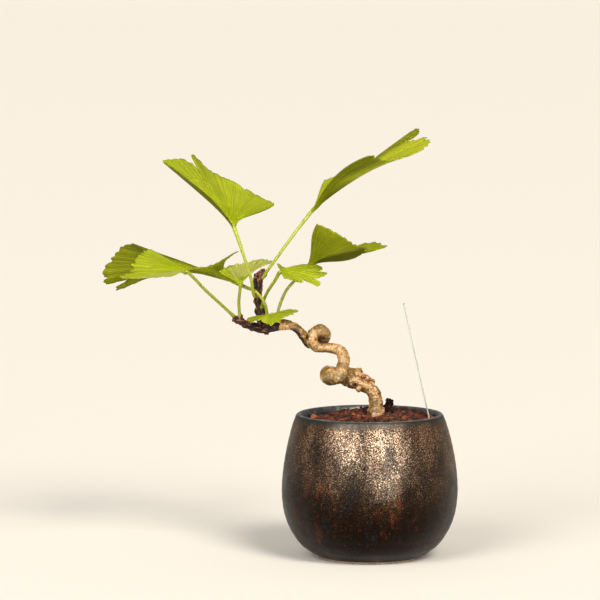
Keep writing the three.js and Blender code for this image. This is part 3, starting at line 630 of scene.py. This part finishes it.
def addBudScales(shape, tip, heading, size, count):
    # scales overlap like roof tiles round the end of a short shoot
    turnTo = Vector(heading).to_track_quat("Z", "Y").to_matrix().to_4x4()
    for i in range(count):
        up = i / max(count - 1, 1)
        angle = i * 2.4  # the golden angle, as leaves stand on a shoot
        lean = 0.75 * (1 - up) + 0.1
        scale = bmesh.ops.create_icosphere(shape, subdivisions=2, radius=1)["verts"]
        for vert in scale:  # a ball pressed to a pointed, cupped shell
            vert.co.x *= 0.26
            point = max(vert.co.z, 0)
            vert.co.y *= 0.62 * (1 - 0.6 * point * point)
            vert.co.x += 0.28 * (1 - vert.co.z ** 2) * (1 if vert.co.x > 0 else 0.8) - 0.1
        move = (Matrix.Translation(tip) @ turnTo @ Matrix.Rotation(angle, 4, "Z")
                @ Matrix.Translation((0.55 * size * (1 - 0.6 * up), 0, size * (1.1 * up - 0.5)))
                @ Matrix.Rotation(lean, 4, "Y") @ Matrix.Scale(size * (1 - 0.25 * up), 4))
        bmesh.ops.transform(shape, matrix=move, verts=scale)
        for face in {face for vert in scale for face in vert.link_faces}:
            face.material_index = 1


def creviceShadeAt(spot, run, samples, tree):
    # how much painted shade the spot takes from lying between two turns of the stem
    creviceShade = 0
    for _, i, distance in tree.find_range(spot, trunkShape["turnSearch"]):
        _, otherRun, radius, other = samples[i]
        if other in trunkShape["main"] and abs(otherRun - run) > trunkShape["turnApart"]:
            creviceShade = max(creviceShade, 1 - (distance - radius) / trunkShape["creviceShadeReach"])
    return creviceShade


def makeTrunk():
    wood = bmesh.new()
    samples = []  # place, how far along the stem, radius, name of the path
    stem = 0
    for name, points in trunkShape["paths"].items():
        steps = max(4, round(lengthOf(points) / trunkShape["step"]))
        path = addLimb(wood, points, steps, trunkShape["sides"])
        run = 0
        for i, p in enumerate(path):
            run += (p.xyz - path[max(i - 1, 0)].xyz).length
            samples.append((p.xyz, stem + run, p.w, name))
        if name in trunkShape["main"]:
            stem += run
    wood = afterModifier(wood, "REMESH", mode="VOXEL", voxel_size=trunkShape["voxel"], adaptivity=0)
    for _ in range(trunkShape["smoothings"]):
        bmesh.ops.smooth_vert(wood, verts=wood.verts, factor=0.5, use_axis_x=True, use_axis_y=True,
                              use_axis_z=True)
    tree = KDTree(len(samples))
    for i, sample in enumerate(samples):
        tree.insert(sample[0], i)
    tree.balance()
    wood.normal_update()
    facts = wood.verts.layers.float_color.new("wood")
    (branchShadeFrom, branchShadeTo), branchShadeLowest, branchShadeSide = trunkShape["branchShadeStrip"]
    for vert in wood.verts:
        spot = vert.co.copy()
        _, run, _, name = samples[tree.find(spot)[1]]
        edge = trunkShape["oldFrom"] + 0.9 * noise.noise(spot / 1.6)
        age = 1 if name == "spur" else clamp((edge - spot.x) / trunkShape["oldOver"])
        creviceShade = creviceShadeAt(spot, run, samples, tree) if name in trunkShape["main"] and not age else 0
        branchShadeStrip = 0  # painted shade on the branch's side that faces down and left
        if name in ("branch", "upperKnot") and spot.z >= branchShadeLowest:
            facing = vert.normal.dot(Vector(branchShadeSide)) + 0.5 * noise.noise(spot / 1.2)
            branchShadeStrip = clamp((facing - 0.15) / 0.25) * clamp(spot.x - branchShadeFrom) * clamp(branchShadeTo - spot.x)
        wave = run / trunkShape["ringSpacing"] + 0.55 * noise.noise(spot / 2.5)
        ring = abs(math.sin(math.pi * wave))  # 0 in the groove between two growth rings
        lump = noise.fractal(spot / 2.6, 1.0, 2.0, 3)
        rough = noise.fractal(spot / 1.1, 0.9, 2.0, 3)
        pore = noise.noise(spot / 1.4 + Vector((31, 7, 3)))
        pit = clamp((pore - 0.58) / 0.1) * (1 - age)
        flake = abs(noise.noise(Vector((spot.x / 4, spot.y / 4, spot.z / 1.1)) + Vector((5, 5, 5))))
        patch = noise.noise(spot / 3 + Vector((4, 8, 1)))
        line = clamp((0.035 - flake) / 0.035) * clamp(patch * 4) * (1 - age)  # fine cracks
        undersideShade = min(max(-vert.normal.z - 0.25 + 0.4 * noise.noise(spot / 1.6), 0) / 0.6, 1)  # painted shade on faces that look down
        relief = trunkShape["ruggedRelief" if name.startswith(trunkShape["rugged"]) else "youngRelief"]
        youngMove = (trunkShape["ringHeight"] * (1 - (1 - ring) ** 3) + relief * (lump + 0.35 * rough)
                     - trunkShape["pitDepth"] * pit - trunkShape["lineDepth"] * line)
        wide, deep, tall = trunkShape["plates"]["spur" if name == "spur" else "branch"]
        plate = noise.fractal(Vector((spot.x / wide, spot.y / deep, spot.z / tall)), 0.9, 2.0, 3)
        oldMove = trunkShape["oldRelief"] * (0.9 * plate + 0.4 * lump) - 0.1 * (1 - ring)
        vert.co += vert.normal * (youngMove * (1 - age) + oldMove * age)
        # painted shade in the dips of the bark, in the eye and in the listed hollows
        hollowShade = 0.8 if name == "eye" else clamp(-0.8 * lump - 0.28, 0, 0.35)
        for *middle, radius in trunkShape["shadedHollows"]:
            near = 1 - (spot - Vector(middle)).length / radius + 0.3 * noise.noise(spot / 0.7)
            hollowShade = max(hollowShade, clamp(2 * near))
        paleBarkFrom, paleBarkTo = trunkShape["paleBarkAndLight"]
        paleBarkAndLight = min(max(spot.x - paleBarkFrom, 0), max(paleBarkTo - spot.x, 0), 1)
        paleBarkAndLight *= 1 if name == "branch" else 0.6 if name == "upperKnot" and spot.y < -1 else 0
        # painted shade from underneath and in the hollows, weaker on the pale branch bark
        paintedShade = max(0.6 * undersideShade, hollowShade) * (1 - 0.7 * paleBarkAndLight)
        # real pores and cracks, with painted shade between turns, on the branch strip, underneath and in
        # hollows
        cracksAndShade = max(pit, 0.7 * line, clamp(creviceShade) ** 0.6, branchShadeStrip, paintedShade)
        moss = clamp(noise.noise(spot / 3.4 + Vector((9, 2, 4))) * 3 + 0.35)
        moss *= 1 if name in trunkShape["mossy"] else 0.15
        ridge = clamp(0.45 + 0.8 * plate)
        vert[facts] = (age, ring * (1 - age) + ridge * age, cracksAndShade, moss - 2 * paleBarkAndLight)
    for tip, heading, size, count in trunkShape["buds"]:
        addBudScales(wood, tip, heading, size, count)
    finishPiece("trunk_wood", wood, [barkMaterial(), budScaleMaterial()], ["trunk"])


makeTrunk()


# leaves: fans of forking veins, each leaf one blade on its petiole

leafShape = {
    "columns": 150, "rows": 46,  # of the blade's grid, across the fan and along its veins
    "thickness": 0.32,
    "handle": 5, "bowAt": 0.55, "start": 0.03, "crowding": 1.15,  # above 1, rows crowd at the petiole
    "veinSpacing": 6.8,  # mm along the margin between veins that have not forked yet
    "margin": 0.6,  # height of the teeth of the margin
    "notches": 8, "notchDepth": (0.015, 0.045), "notchWidth": (0.005, 0.011),
    "funnel": 4.5,  # the blade starts this far down its petiole
    "pleat": 0.15, "pleatSpacing": 3.4, "ruffle": 0.35,
    "petiole": 0.62, "petioleFoot": 1.0, "petioleSides": 14,
    "intoBlade": (0.2, 0.28, 0.38),  # where the petiole's end runs on along the middle vein
    "flare": 0.35, "flareAt": 0.72, "taper": 3.6, "taperFrom": 0.76,
}
# The points are in mm: the petiole, then [x, y, z, and the bow x, y, z] of guide veins. Cuts are [place
# across the fan, depth, half width]. Shades (painted shade), pales (paler, greyer patches) and brights
# (painted light) are [across from, to, along from, to, amount].
leaves = {
    "leaf_upper_left": {
        "stem": [
            [-45.4, 0.6, 103.8], [-46.2, -1.2, 105.3], [-46.6, -2.9, 107.4], [-47, -5, 111],
            [-48.2, -6.5, 115.5], [-49.5, -7.5, 119.5], [-50.8, -8, 123.5], [-52.3, -7.5, 128],
            [-54, -6, 132.5],
        ],
        "rays": [
            [-73.5, -15, 152.5, 1, -2, 3.5], [-77, -12, 155.5, 1, -1, 1.5], [-81.5, -7, 158, 1, 0, 1],
            [-79, 0, 159, 0, 0, 1], [-74.5, 6, 158.5, 0, 0, 2], [-71.5, 10, 156.5, 0, 0, 1.5],
            [-71, 15, 160, 0, 0, 0.5], [-67, 19, 156, 0, 0, 1], [-63, 22, 152.5, 0, 0, 1.5],
            [-58, 24, 150, 0, 0, 2], [-51.5, 23, 147, 0, 0, 2], [-44.5, 20, 143, -1, 0, 2.5],
            [-38.4, 16, 140.4, -2.5, 0, 2], [-39.5, 13.5, 138.8, -2.5, 0, 0.5],
        ],
        "cuts": [[0.42, 0.13, 0.02]],
        "paintedShades": [[-0.1, 0.15, -1, 2, 0.95], [0.4, 0.52, 0.8, 2, 0.35], [0.8, 1.1, 0.6, 2, 0.2]],
        "teeth": 0.6,
        "stalk": 0.15,
        "upperIsFront": True,
    },
    "leaf_upper_right": {
        "stem": [
            [-43.2, 0.6, 111.0], [-41.5, -1.1, 113.4], [-39.6, -2.4, 116.3], [-36.6, -3, 120.4],
            [-33.2, -3, 125.2], [-29.6, -2.7, 130], [-26.2, -2.1, 134.4], [-22.9, -1.1, 138.5],
        ],
        "rays": [
            [-1, -24, 161.5, -5, 0, 5.5], [5, -20, 159.5, -3, 0, 5.5], [11.5, -15, 160, 0, 0, 6],
            [18.5, -8, 162, 0, 0, 7], [23.5, 0, 165, 0, 0, 6.5], [22, 6, 167, 0, 0, 5.5],
            [15.5, 12, 165.5, 2, -0.5, 5], [19.5, 15, 168, -1, 0, 3], [19, 18.5, 170, -1, 0, 2],
            [15, 22, 167.5, -1, 0, 1], [9, 25, 161.5, -1, 0, 0.5], [0.5, 28, 157, 0, 0, 0.5],
            [-7.5, 31, 152.5, 0, 0, 1], [-18, 29, 149, 0, 0, 1],
        ],
        "cuts": [[0.475, 0.06, 0.02]],
        "paintedShades": [[0.5, 0.8, -1, 2, 0.45], [-0.1, 0.4, 0.3, 0.62, 0.5], [-0.1, 0.09, 0.35, 2, 0.55]],
        "paintedLights": [[0.08, 0.5, 0.5, 2, 0.85], [0.85, 1.1, -1, 2, 0.7], [-0.1, 1.1, -1, 0.2, 0.5]],
        "stalk": 0.1,
        "upperIsFront": False,
    },
    "leaf_right": {
        "stem": [
            [-36.6, 0.8, 92.9], [-36.7, 2.2, 96.5], [-36, 2.8, 100], [-34, 3, 105], [-32, 4, 108],
            [-29.5, 5, 110.5], [-26.5, 5.8, 113.5], [-24, 6, 116.5],
        ],
        "rays": [
            [-21, -16, 134.5, -2, 0, 2], [-17, -18, 132.5, -1, 0, 2], [-10.5, -20, 129, 0, 0, 1.5],
            [-6.5, -17, 126, 0, -2, 1], [-2, -13, 124.5, 0, -3, 1], [-3, -8, 122.5, 0, -2, -0.5],
            [-5, -3, 120.5, 0, 0, -1], [-3.5, 2.5, 121.5, 0, 0, 0], [3, 6.5, 122.5, 0, 0, 0.5],
            [7, 11, 123.5, 0, 0, 1], [4.5, 15.5, 124.5, 0, 0, 1], [-1.5, 20, 124, 0, 0, 1],
            [-8.5, 23, 121, 0, 0, 0],
        ],
        "cuts": [[0.79, 0.07, 0.02]],
        "paintedShades": [[-0.1, 1.1, -1, 2, 0.04], [0.3, 0.64, 0.3, 2, 1]],
        # a paler stalk: its own paler green, and painted light against the shade it stands in
        "stalk": 0.1,
        "upperIsFront": False,
    },
    "leaf_centre_right": {
        "stem": [
            [-43.3, 0.3, 99], [-42.6, -0.5, 101.4], [-41.9, -0.6, 103.6], [-40.6, -1.8, 106.4],
            [-39.1, -3.1, 108.8], [-37.5, -4.2, 111.3], [-36, -5, 114],
        ],
        "rays": [
            [-37, 2, 117.5, 0, 0, 0], [-32.5, 3, 115, 0, 0, 1], [-28, 3.5, 116.5, 0, 0, 1],
            [-23.5, 2.5, 117, 0, 0, 1], [-20, 0, 116, 0, 0, 1], [-17.5, -5, 113.5, 0, 0, 1],
            [-19.5, -8, 112.5, 0, 0, 1], [-21, -13, 109.5, 0, 0, 2], [-26, -13.5, 112, 0, 0, 1],
            [-27.5, -16.5, 111, 0, 0, 1.5], [-30, -17, 112, 0, 0, 1], [-34, -13, 112.5, 0, 0, 0.5],
        ],
        "cuts": [[0.3, 0.09, 0.01], [0.42, 0.12, 0.012], [0.57, 0.14, 0.016], [0.765, 0.2, 0.012]],
        "ragged": 0.4,
        "teeth": 1.2,
        "funnel": 1.2,
        "stalk": 0.9,
        "handle": 2.5,
        "upperIsFront": True,
    },
    "leaf_left": {
        "stem": [
            [-53.6, 0.6, 95.8], [-56.4, -2.6, 98.8], [-61.5, -7, 104], [-65.5, -9.5, 108], [-69, -11.5, 112],
            [-72, -13, 115],
        ],
        "rays": [
            [-87.5, 9, 122.5, 0, 0, 1], [-90.5, 6, 121.5, 0, 0, 1], [-92, 2, 120.5, 0, 0, 1],
            [-93.5, -4, 118.5, 0, 0, 1], [-93.5, -10, 116, 0, 0, 1], [-97.5, -20, 113.5, 0, 0, 1],
            [-92, -23, 113.5, 0, 0, 1], [-86, -27, 114, 0, 0, 1], [-80, -27, 114.5, 0, 0, 0],
        ],
        "cuts": [[0.2, 0.1, 0.02], [0.56, 0.12, 0.02]],
        "pales": [[0.72, 1.1, -1, 2, 0.7]],
        "stalk": 0.7,
        "upperIsFront": True,
    },
    "leaf_far_left": {
        "stem": [
            [-40.8, 0, 92.6], [-40.9, -1.2, 97.2], [-41.5, -2.4, 100.8], [-42.8, -3, 103.6],
            [-44.3, -2.2, 105.3], [-45.6, -1.2, 106.5], [-46.8, 0.4, 107], [-49, 4, 107.4], [-52, 12, 108],
        ],
        "rays": [
            [-52, -2, 122.5, -14, -4.5, 0.5], [-56.3, 1, 120, -11, -3.5, 2],
            [-60.3, 4.5, 117.5, -8.5, -4, 3], [-65, 7, 115.5, -8, -3.5, 4.5],
            [-70, 7.5, 114.5, -9.5, -1, 5.5], [-75.5, 8, 113.5, -9, 0, 7], [-81.5, 9.5, 115, -8, 1, 7],
            [-87, 12, 120, -6, 2, 4.5], [-94.5, 16, 124, -1.5, 3, 0], [-99.5, 19, 122.5, 1, 3.5, -0.5],
            [-103.5, 22, 118, 3.5, 3.5, 2], [-106.5, 24, 114.5, 6, 3.5, 5.5],
            [-107.5, 26, 109, 7.5, 3.5, 9.5], [-105.5, 28, 107, 7.5, 3.5, 11.5],
            [-101, 29.5, 107.5, 5.5, 4, 11.5], [-102.5, 31.5, 104, 7, 4, 14], [-94.5, 33, 107, 3.5, 4.5, 12],
        ],
        "cuts": [[0.875, 0.05, 0.02]],
        "ragged": 0.4,
        "paintedShades": [[-0.1, 0.16, 0.55, 2, 0.4], [0.4, 0.58, 0.6, 2, 0.75], [0.5, 1.1, -1, 2, 0.4]],
        "stalk": 0.5,
        "upperIsFront": False,
    },
    "leaf_centre_left": {
        "stem": [
            [-51.5, 0.2, 94.6], [-51.9, -1.2, 98.6], [-52, -3, 103], [-51.5, -5, 107.5], [-51.5, -6, 109.5],
        ],
        "rays": [
            [-60, -1, 114.5, 0, 0, 0], [-57.5, 3, 115.5, 0, 0, 0], [-53.5, 7, 116.5, 0, 0, 0],
            [-49, 10, 117, 0, 0, 0], [-44.5, 11, 118, 0, 0, 0], [-41, 9, 118, 0, 0, 1.5],
            [-38.5, 5, 117.5, -1, 0, 3.5],
        ],
        "cuts": [],
        "pales": [[0.2, 1.1, 0.5, 2, 0.85], [0.6, 1.1, 0.25, 2, 0.5]],
        "teeth": 0.4,
        "funnel": 3,
        "stalk": 0.6,
        "handle": 2.5,
        "upperIsFront": True,
    },
    "leaf_low": {
        "stem": [[-38.6, 1.4, 92.6], [-38.7, 2.3, 94.4], [-38.9, 1, 96.3], [-39, -2.3, 97.4]],
        "rays": [
            [-49, -4.5, 96, 0, 0, 0.5], [-47.5, -8.5, 95, 0, 0, 0.5], [-44.5, -12, 96, 0, 0, 1],
            [-41, -15, 95, 0, 0, 1], [-39, -16, 94.5, 0, 0, 1], [-36, -15, 95.5, 0, 0, 1],
            [-34, -13.2, 96.8, 0, 0, 1], [-32.8, -11.8, 97.5, 0, 0, 0.7], [-30, -10, 98, 0, 0, 0.5],
            [-29.5, -6, 99, 0, 0, 0.5], [-30.5, -2.5, 99.5, 0, 0, 0.5],
        ],
        "cuts": [[0.22, 0.1, 0.02], [0.45, 0.12, 0.016], [0.64, 0.22, 0.02], [0.77, 0.2, 0.015]],
        "ragged": 0.3,
        "paintedShades": [[-0.1, 0.2, -1, 2, 0.5], [0.8, 1.1, -1, 2, 0.3]],
        "funnel": 0.6,
        "stalk": 0.5,
        "handle": 1.5,
        "upperIsFront": True,
    },
}


def bladeMaterial(name, palette, roughness, veinDepth):
    # the thin skin of a young leaf, satin, over forking veins that stand out as fine ribs
    blade, add = newMaterial(name, Roughness=roughness, IOR=1.45, Specular_IOR_Level=0.05)
    place = add("TexCoord").outputs["Object"]
    fan = add("UVMap", uv_map="fan")
    across, along, _ = add("SeparateXYZ", [fan]).outputs
    cell = add("Math", [across], operation="FLOOR")
    lot = add("TexWhiteNoise", {"W": cell}, noise_dimensions="1D")
    late = add("Math", [lot, -0.12, along], operation="MULTIPLY_ADD")
    part = add("Math", [across], operation="FRACT")
    distance = add("Math", [part, 0.5], operation="SUBTRACT")
    for forkAt, reach in ((0.06, 0.25), (0.26, 0.125), (0.52, 0.0625)):  # each vein forks three times
        spread = add("MapRange", [late, forkAt, forkAt + 0.2, 0, reach])
        folded = add("Math", [distance], operation="ABSOLUTE")
        distance = add("Math", [folded, spread], operation="SUBTRACT")
    off = add("Math", [distance], operation="ABSOLUTE")
    rib = add("MapRange", [off, 0, 0.05, 1, 0], interpolation_type="SMOOTHSTEP")
    cloud = add("TexNoise", {"Vector": place, "Scale": 1 / (7 * mm), "Detail": 4, "Roughness": 0.6})
    flesh = add("ValToRGB", [cloud], {0.3: palette["deep"], 0.5: palette["main"], 0.7: palette["light"]})
    streakPlace = add("CombineXYZ", [across, along])
    streakMap = add("Mapping", {"Vector": streakPlace, "Scale": (3.4, 1.1, 1)})
    streak = add("TexNoise", {"Vector": streakMap, "Scale": 1, "Detail": 3})
    streakAmount = add("MapRange", [streak, 0.4, 0.65, 0, 0.8])
    streaked = add("MixRGB", [streakAmount, flesh, palette["streak"]])
    veinAmount = add("Math", [rib, palette["veinShare"]], operation="MULTIPLY")
    veined = add("MixRGB", [veinAmount, streaked, palette["vein"]])
    heart = add("MapRange", [along, 0.3, 0, 0, 0.6])
    hearted = add("MixRGB", [heart, veined, palette["heart"]])
    # the tone attribute carries painted shade in red, paler patches in green and painted light in blue
    tone = add("Attribute", attribute_name="tone")
    dark, pale, bright = add("SeparateColor", [tone]).outputs
    # painted light: the bright colour the bright spots mix in
    lit = add("MixRGB", [0.35, palette["bright"], hearted])
    brightened = add("MixRGB", [bright, hearted, lit])
    paled = add("MixRGB", [pale, brightened, palette["pale"]])
    # painted shade: the colour the shade spots mix in
    paintedShadeColour = add("MixRGB", [veinAmount, palette["shade"], palette["shadeVein"]])
    toned = add("MixRGB", [dark, paled, paintedShadeColour])
    grain = add("TexNoise", {"Vector": place, "Scale": 1 / (0.5 * mm), "Detail": 2})
    skin = add("Bump", {"Strength": 0.15, "Distance": 0.05 * mm, "Height": grain})
    relief = add("Bump", {"Strength": 0.6, "Distance": veinDepth * mm, "Height": rib, "Normal": skin})
    return dress(blade, Base_Color=toned, Normal=relief)


def petioleMaterial():
    # smooth living stalk: yellow-green, darker and browner at its foot
    stalk, add = newMaterial("petioleSkin", Roughness=0.42, IOR=1.45, Specular_IOR_Level=0.12)
    place = add("TexCoord").outputs["Object"]
    fan = add("UVMap", uv_map="fan")
    along = add("SeparateXYZ", [fan]).outputs["Y"]
    pale = add("ValToRGB", [along], {0: "#6b5a2a", 0.05: "#a0a53a", 0.4: "#acb33e", 1: "#aebb32"})
    deep = add("ValToRGB", [along], {0: "#6b5a2a", 0.05: "#8f942a", 0.3: "#7d8214", 1: "#8f9d22"})
    tone = add("Attribute", attribute_name="tone")
    dark = add("SeparateColor", [tone])
    tint = add("MixRGB", [dark, pale, deep])
    mottle = add("TexNoise", {"Vector": place, "Scale": 1 / (1.6 * mm), "Detail": 3})
    shade = add("MapRange", [mottle, 0, 1, 0.75, 1.2])
    whole = add("MixRGB", [1, tint, shade], blend_type="MULTIPLY")
    bump = add("Bump", {"Strength": 0.25, "Distance": 0.08 * mm, "Height": mottle})
    return dress(stalk, Base_Color=whole, Normal=bump)


def softSpot(across, along, spots):
    # how strongly the spots colour this place of the fan
    amounts = [0]
    for left, right, low, high, amount in spots:
        inside = min(min(across - left, right - across) / 0.04, min(along - low, high - along) / 0.1)
        amounts.append(amount * clamp(inside + 0.5))
    return max(amounts)


def makeLeaf(name, leaf, materials):
    heading = (Vector(leaf["stem"][-1]) - Vector(leaf["stem"][-2])).normalized()
    funnel = leaf.get("funnel", leafShape["funnel"])
    end = Vector(leaf["stem"][-1]) - heading * funnel
    shoulder = end + heading * (funnel + leaf.get("handle", leafShape["handle"]))

    def veinPoint(ray, along):
        tip, bow = Vector(ray[:3]), Vector(ray[3:])
        middle = end.lerp(tip, leafShape["bowAt"]) + bow
        back = 1 - along
        return (end * back ** 3 + shoulder * 3 * back * back * along + middle * 3 * back * along * along
                + tip * along ** 3)

    marginLength = lengthOf([pointAlong(leaf["rays"], i / 60) for i in range(61)])
    seed = sum(ord(letter) for letter in name)
    blade = bmesh.new()
    fan = blade.loops.layers.uv.new("fan")
    tone = blade.verts.layers.float_color.new("tone")
    grid = bmesh.ops.create_grid(blade, x_segments=leafShape["columns"], y_segments=leafShape["rows"],
                                 size=0.5)["verts"]
    share = {vert: (vert.co.x + 0.5, vert.co.y + 0.5) for vert in grid}
    for face in blade.faces:
        for loop in face.loops:
            across, along = share[loop.vert]
            loop[fan].uv = (across * marginLength / leafShape["veinSpacing"], along)
    notches = [(chance.uniform(0.03, 0.97), chance.uniform(*leafShape["notchDepth"]) * leaf.get("ragged", 1),
                chance.uniform(*leafShape["notchWidth"])) for _ in range(leafShape["notches"])]
    start = leafShape["start"]
    for vert, (across, along) in share.items():
        ray = pointAlong(leaf["rays"], across)
        run = across * marginLength
        lobe = abs(math.sin(run * 1.05 + 1.8 * noise.noise(Vector((run / 5, seed, 0))))) ** 0.6
        step = noise.noise(Vector((run / 3.1, seed, 5)))
        teeth = leafShape["margin"] * leaf.get("teeth", 1) * (lobe * (1 + 0.8 * step) + 1.4 * step - 0.8)
        reach = 1 + teeth / (Vector(ray[:3]) - end).length
        for at, depth, halfWidth in leaf["cuts"] + notches:
            reach -= depth * max(0, 1 - abs(across - at) / halfWidth) ** 0.8
        vert.co = veinPoint(ray, start + (reach - start) * along ** leafShape["crowding"])
        wobble = 0.03 * noise.noise(Vector((across * 9, along * 4, seed)))
        # spots of painted shade, paler patches and painted light
        spots = [leaf.get(kind, []) for kind in ("paintedShades", "pales", "paintedLights")]
        vert[tone] = (*[softSpot(across + wobble, along, kind) for kind in spots], 1)
    blade.normal_update()
    for vert, (across, along) in share.items():
        run = across * marginLength
        fold = run * 2 * math.pi / leafShape["pleatSpacing"]
        pleat = leafShape["pleat"] * math.sin(fold + noise.noise(Vector((run / 5, 1, seed))))
        ruffle = leafShape["ruffle"] * noise.noise(Vector((run / 7, along * 2.5, seed))) * along ** 2
        vert.co += vert.normal * (pleat * along + ruffle)
    blade = afterModifier(blade, "SOLIDIFY", thickness=leafShape["thickness"], offset=0,
                          use_even_offset=False, material_offset=1, material_offset_rim=0)
    if not leaf["upperIsFront"]:
        for face in blade.faces:
            face.material_index = 1 - face.material_index

    points = [Vector(point) for point in leaf["stem"]]
    points += [veinPoint(pointAlong(leaf["rays"], 0.5), along) for along in leafShape["intoBlade"]]
    steps = 8 * len(points)
    foot, slim = leafShape["petioleFoot"], leafShape["petiole"]
    radii = []
    for i in range(steps + 1):
        along = i / steps
        swell = (foot - slim) * max(0, 1 - along * 7) ** 2
        flare = leafShape["flare"] * math.exp(-((along - leafShape["flareAt"]) / 0.12) ** 2)
        taper = leafShape["taper"] * max(0, along - leafShape["taperFrom"])
        radii.append((slim * (1 + flare - taper) + swell) * min(0.5 + 16 * along, 1))
    path = [pointAlong(points, i / steps) for i in range(steps + 1)]
    sides = leafShape["petioleSides"]
    fan, tone = blade.loops.layers.uv["fan"], blade.verts.layers.float_color["tone"]
    ring = {vert: i // sides for i, vert in enumerate(addTube(blade, path, radii, sides))}
    for vert in ring:
        vert[tone] = (leaf["stalk"], 0, 0, 1)
    for face in {face for vert in ring for face in vert.link_faces}:
        face.material_index = 2
        for loop in face.loops:
            loop[fan].uv = (0, ring[loop.vert] / steps)
    finishPiece("ginkgo_" + name, blade, materials, [name])


leafSkins = [
    bladeMaterial("leafUpperSkin", {
        "deep": "#829106", "main": "#99a50c", "light": "#adb41a", "streak": "#7c8c06", "vein": "#c3c945",
        "heart": "#a9b626", "shade": "#5d6206", "shadeVein": "#7a7f12", "pale": "#a8a957",
        "bright": "#b9c02a", "veinShare": 0.5}, 0.5, 0.16),
    # the under skin's palette is darker than the upper skin's: partly the underside's own duller green,
    # partly painted shade
    bladeMaterial("leafUnderSkin", {
        "deep": "#7c8404", "main": "#8e9608", "light": "#a0a712", "streak": "#6d7402", "vein": "#a9b02c",
        "heart": "#9aa81e", "shade": "#575b04", "shadeVein": "#6f7310", "pale": "#a3a35c",
        "bright": "#b6bd2c", "veinShare": 0.45}, 0.6, 0.24),
    petioleMaterial(),
]
for leafName, leafFacts in leaves.items():
    makeLeaf(leafName, leafFacts, leafSkins)


# a stub of charred wood in the soil, the plant marker, and the net over the drain holes

chipShape = {
    "limbs": [  # points are [x, y, z, radius] in mm
        [[7.4, 5.2, 51, 1.3], [7.2, 5.0, 55, 1.6], [6.8, 4.8, 58.4, 1.45], [7.4, 4.8, 60.0, 1.2],
         [8.1, 4.8, 61.4, 1.4], [8.3, 4.8, 62.4, 1.1]],
        [[6.6, 4.6, 57.6, 1.2], [6.1, 4.2, 59.0, 1.1], [6.0, 4.1, 60.0, 0.6]],
        [[8.0, 4.6, 61.8, 1.0], [7.3, 4.3, 62.4, 0.9], [7.0, 4.2, 62.8, 0.5]],
    ],
    "steps": 20, "sides": 16, "voxel": 0.25,
    "relief": 0.6, "crumb": 0.9,  # height and size of the breaks in its surface
}


def charredMaterial():
    # weathered charred wood: near black, matt, brown where it is broken
    char, add = newMaterial("charredWood", Roughness=0.95, IOR=1.45, Specular_IOR_Level=0.05)
    place = add("TexCoord").outputs["Object"]
    grain = add("TexNoise", {"Vector": place, "Scale": 1 / (0.8 * mm), "Detail": 5, "Roughness": 0.7})
    tint = add("ValToRGB", [grain], {0.44: "#0c0502", 0.58: "#35190b", 0.74: "#86502c"})
    bump = add("Bump", {"Strength": 0.8, "Distance": 0.25 * mm, "Height": grain})
    return dress(char, Base_Color=tint, Normal=bump)


def makeChip():
    chip = bmesh.new()
    for limb in chipShape["limbs"]:
        addLimb(chip, limb, chipShape["steps"], chipShape["sides"])
    chip = afterModifier(chip, "REMESH", mode="VOXEL", voxel_size=chipShape["voxel"], adaptivity=0)
    chip.normal_update()
    for vert in chip.verts:
        broken = noise.fractal(vert.co / chipShape["crumb"], 0.7, 2.0, 3)
        vert.co += vert.normal * chipShape["relief"] * broken
    finishPiece("charred_stub", chip, [charredMaterial()], ["charred_chip"])


markerShape = {
    "thickness": 0.52, "width": 4, "height": 45.8, "depth": 20,
    "point": 4,  # length of the cut point in the soil
    "lean": 0.219,  # radians
    "foot": (23.4, 0, 56.7),  # where it enters the soil
    "edge": 0.12,  # width of the bevel
    "sharp": 40,  # degrees
}


def markerMaterial():
    # thin translucent-white polystyrene strip, cut from sheet: satin, faint scuffs
    plastic, add = newMaterial("styreneStrip", IOR=1.55, Specular_IOR_Level=0.2)
    place = add("TexCoord").outputs["Object"]
    scuff = add("TexNoise", {"Vector": place, "Scale": 1 / (2.5 * mm), "Detail": 4})
    tint = add("ValToRGB", [scuff], {0.3: "#989a8d", 0.7: "#aaac9e"})
    rough = add("MapRange", [scuff, 0, 1, 0.3, 0.55])
    return dress(plastic, Base_Color=tint, Roughness=rough)


def makeMarker():
    thickness, half = markerShape["thickness"], markerShape["width"] / 2
    top, tip = markerShape["height"], -markerShape["depth"]
    pointed = tip + markerShape["point"]
    strip = bmesh.new()
    outline = [(-half, top), (-half, pointed), (0, tip), (half, pointed), (half, top)]
    face = strip.faces.new([strip.verts.new((0, y, z)) for y, z in outline])
    grown = bmesh.ops.extrude_face_region(strip, geom=[face])["geom"]
    bmesh.ops.translate(strip, vec=(thickness, 0, 0), verts=newVerts(grown))
    bmesh.ops.recalc_face_normals(strip, faces=strip.faces)
    bmesh.ops.bevel(strip, geom=list(strip.edges), offset=markerShape["edge"], segments=2,
                    affect="EDGES", profile=0.5, material=-1)
    move = (Matrix.Translation(markerShape["foot"]) @ Matrix.Rotation(-markerShape["lean"], 4, "Y")
            @ Matrix.Translation((-thickness / 2, 0, 0)))
    bmesh.ops.transform(strip, matrix=move, verts=strip.verts)
    finishPiece("plant_marker", strip, [markerMaterial()], ["marker"], markerShape["sharp"])


def netMaterial():
    # moulded black polyethylene: soft sheen, a little dust
    plastic, add = newMaterial("polyethyleneNet", Roughness=0.55, IOR=1.51)
    place = add("TexCoord").outputs["Object"]
    dust = add("TexNoise", {"Vector": place, "Scale": 1 / (3 * mm), "Detail": 4})
    tint = add("ValToRGB", [dust], {0.4: "#1c1d1c", 0.8: "#4b4540"})
    return dress(plastic, Base_Color=tint)


makeChip()
makeMarker()
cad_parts["drain_net"].data.materials.clear()
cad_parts["drain_net"].data.materials.append(netMaterial())
print("all pieces made")
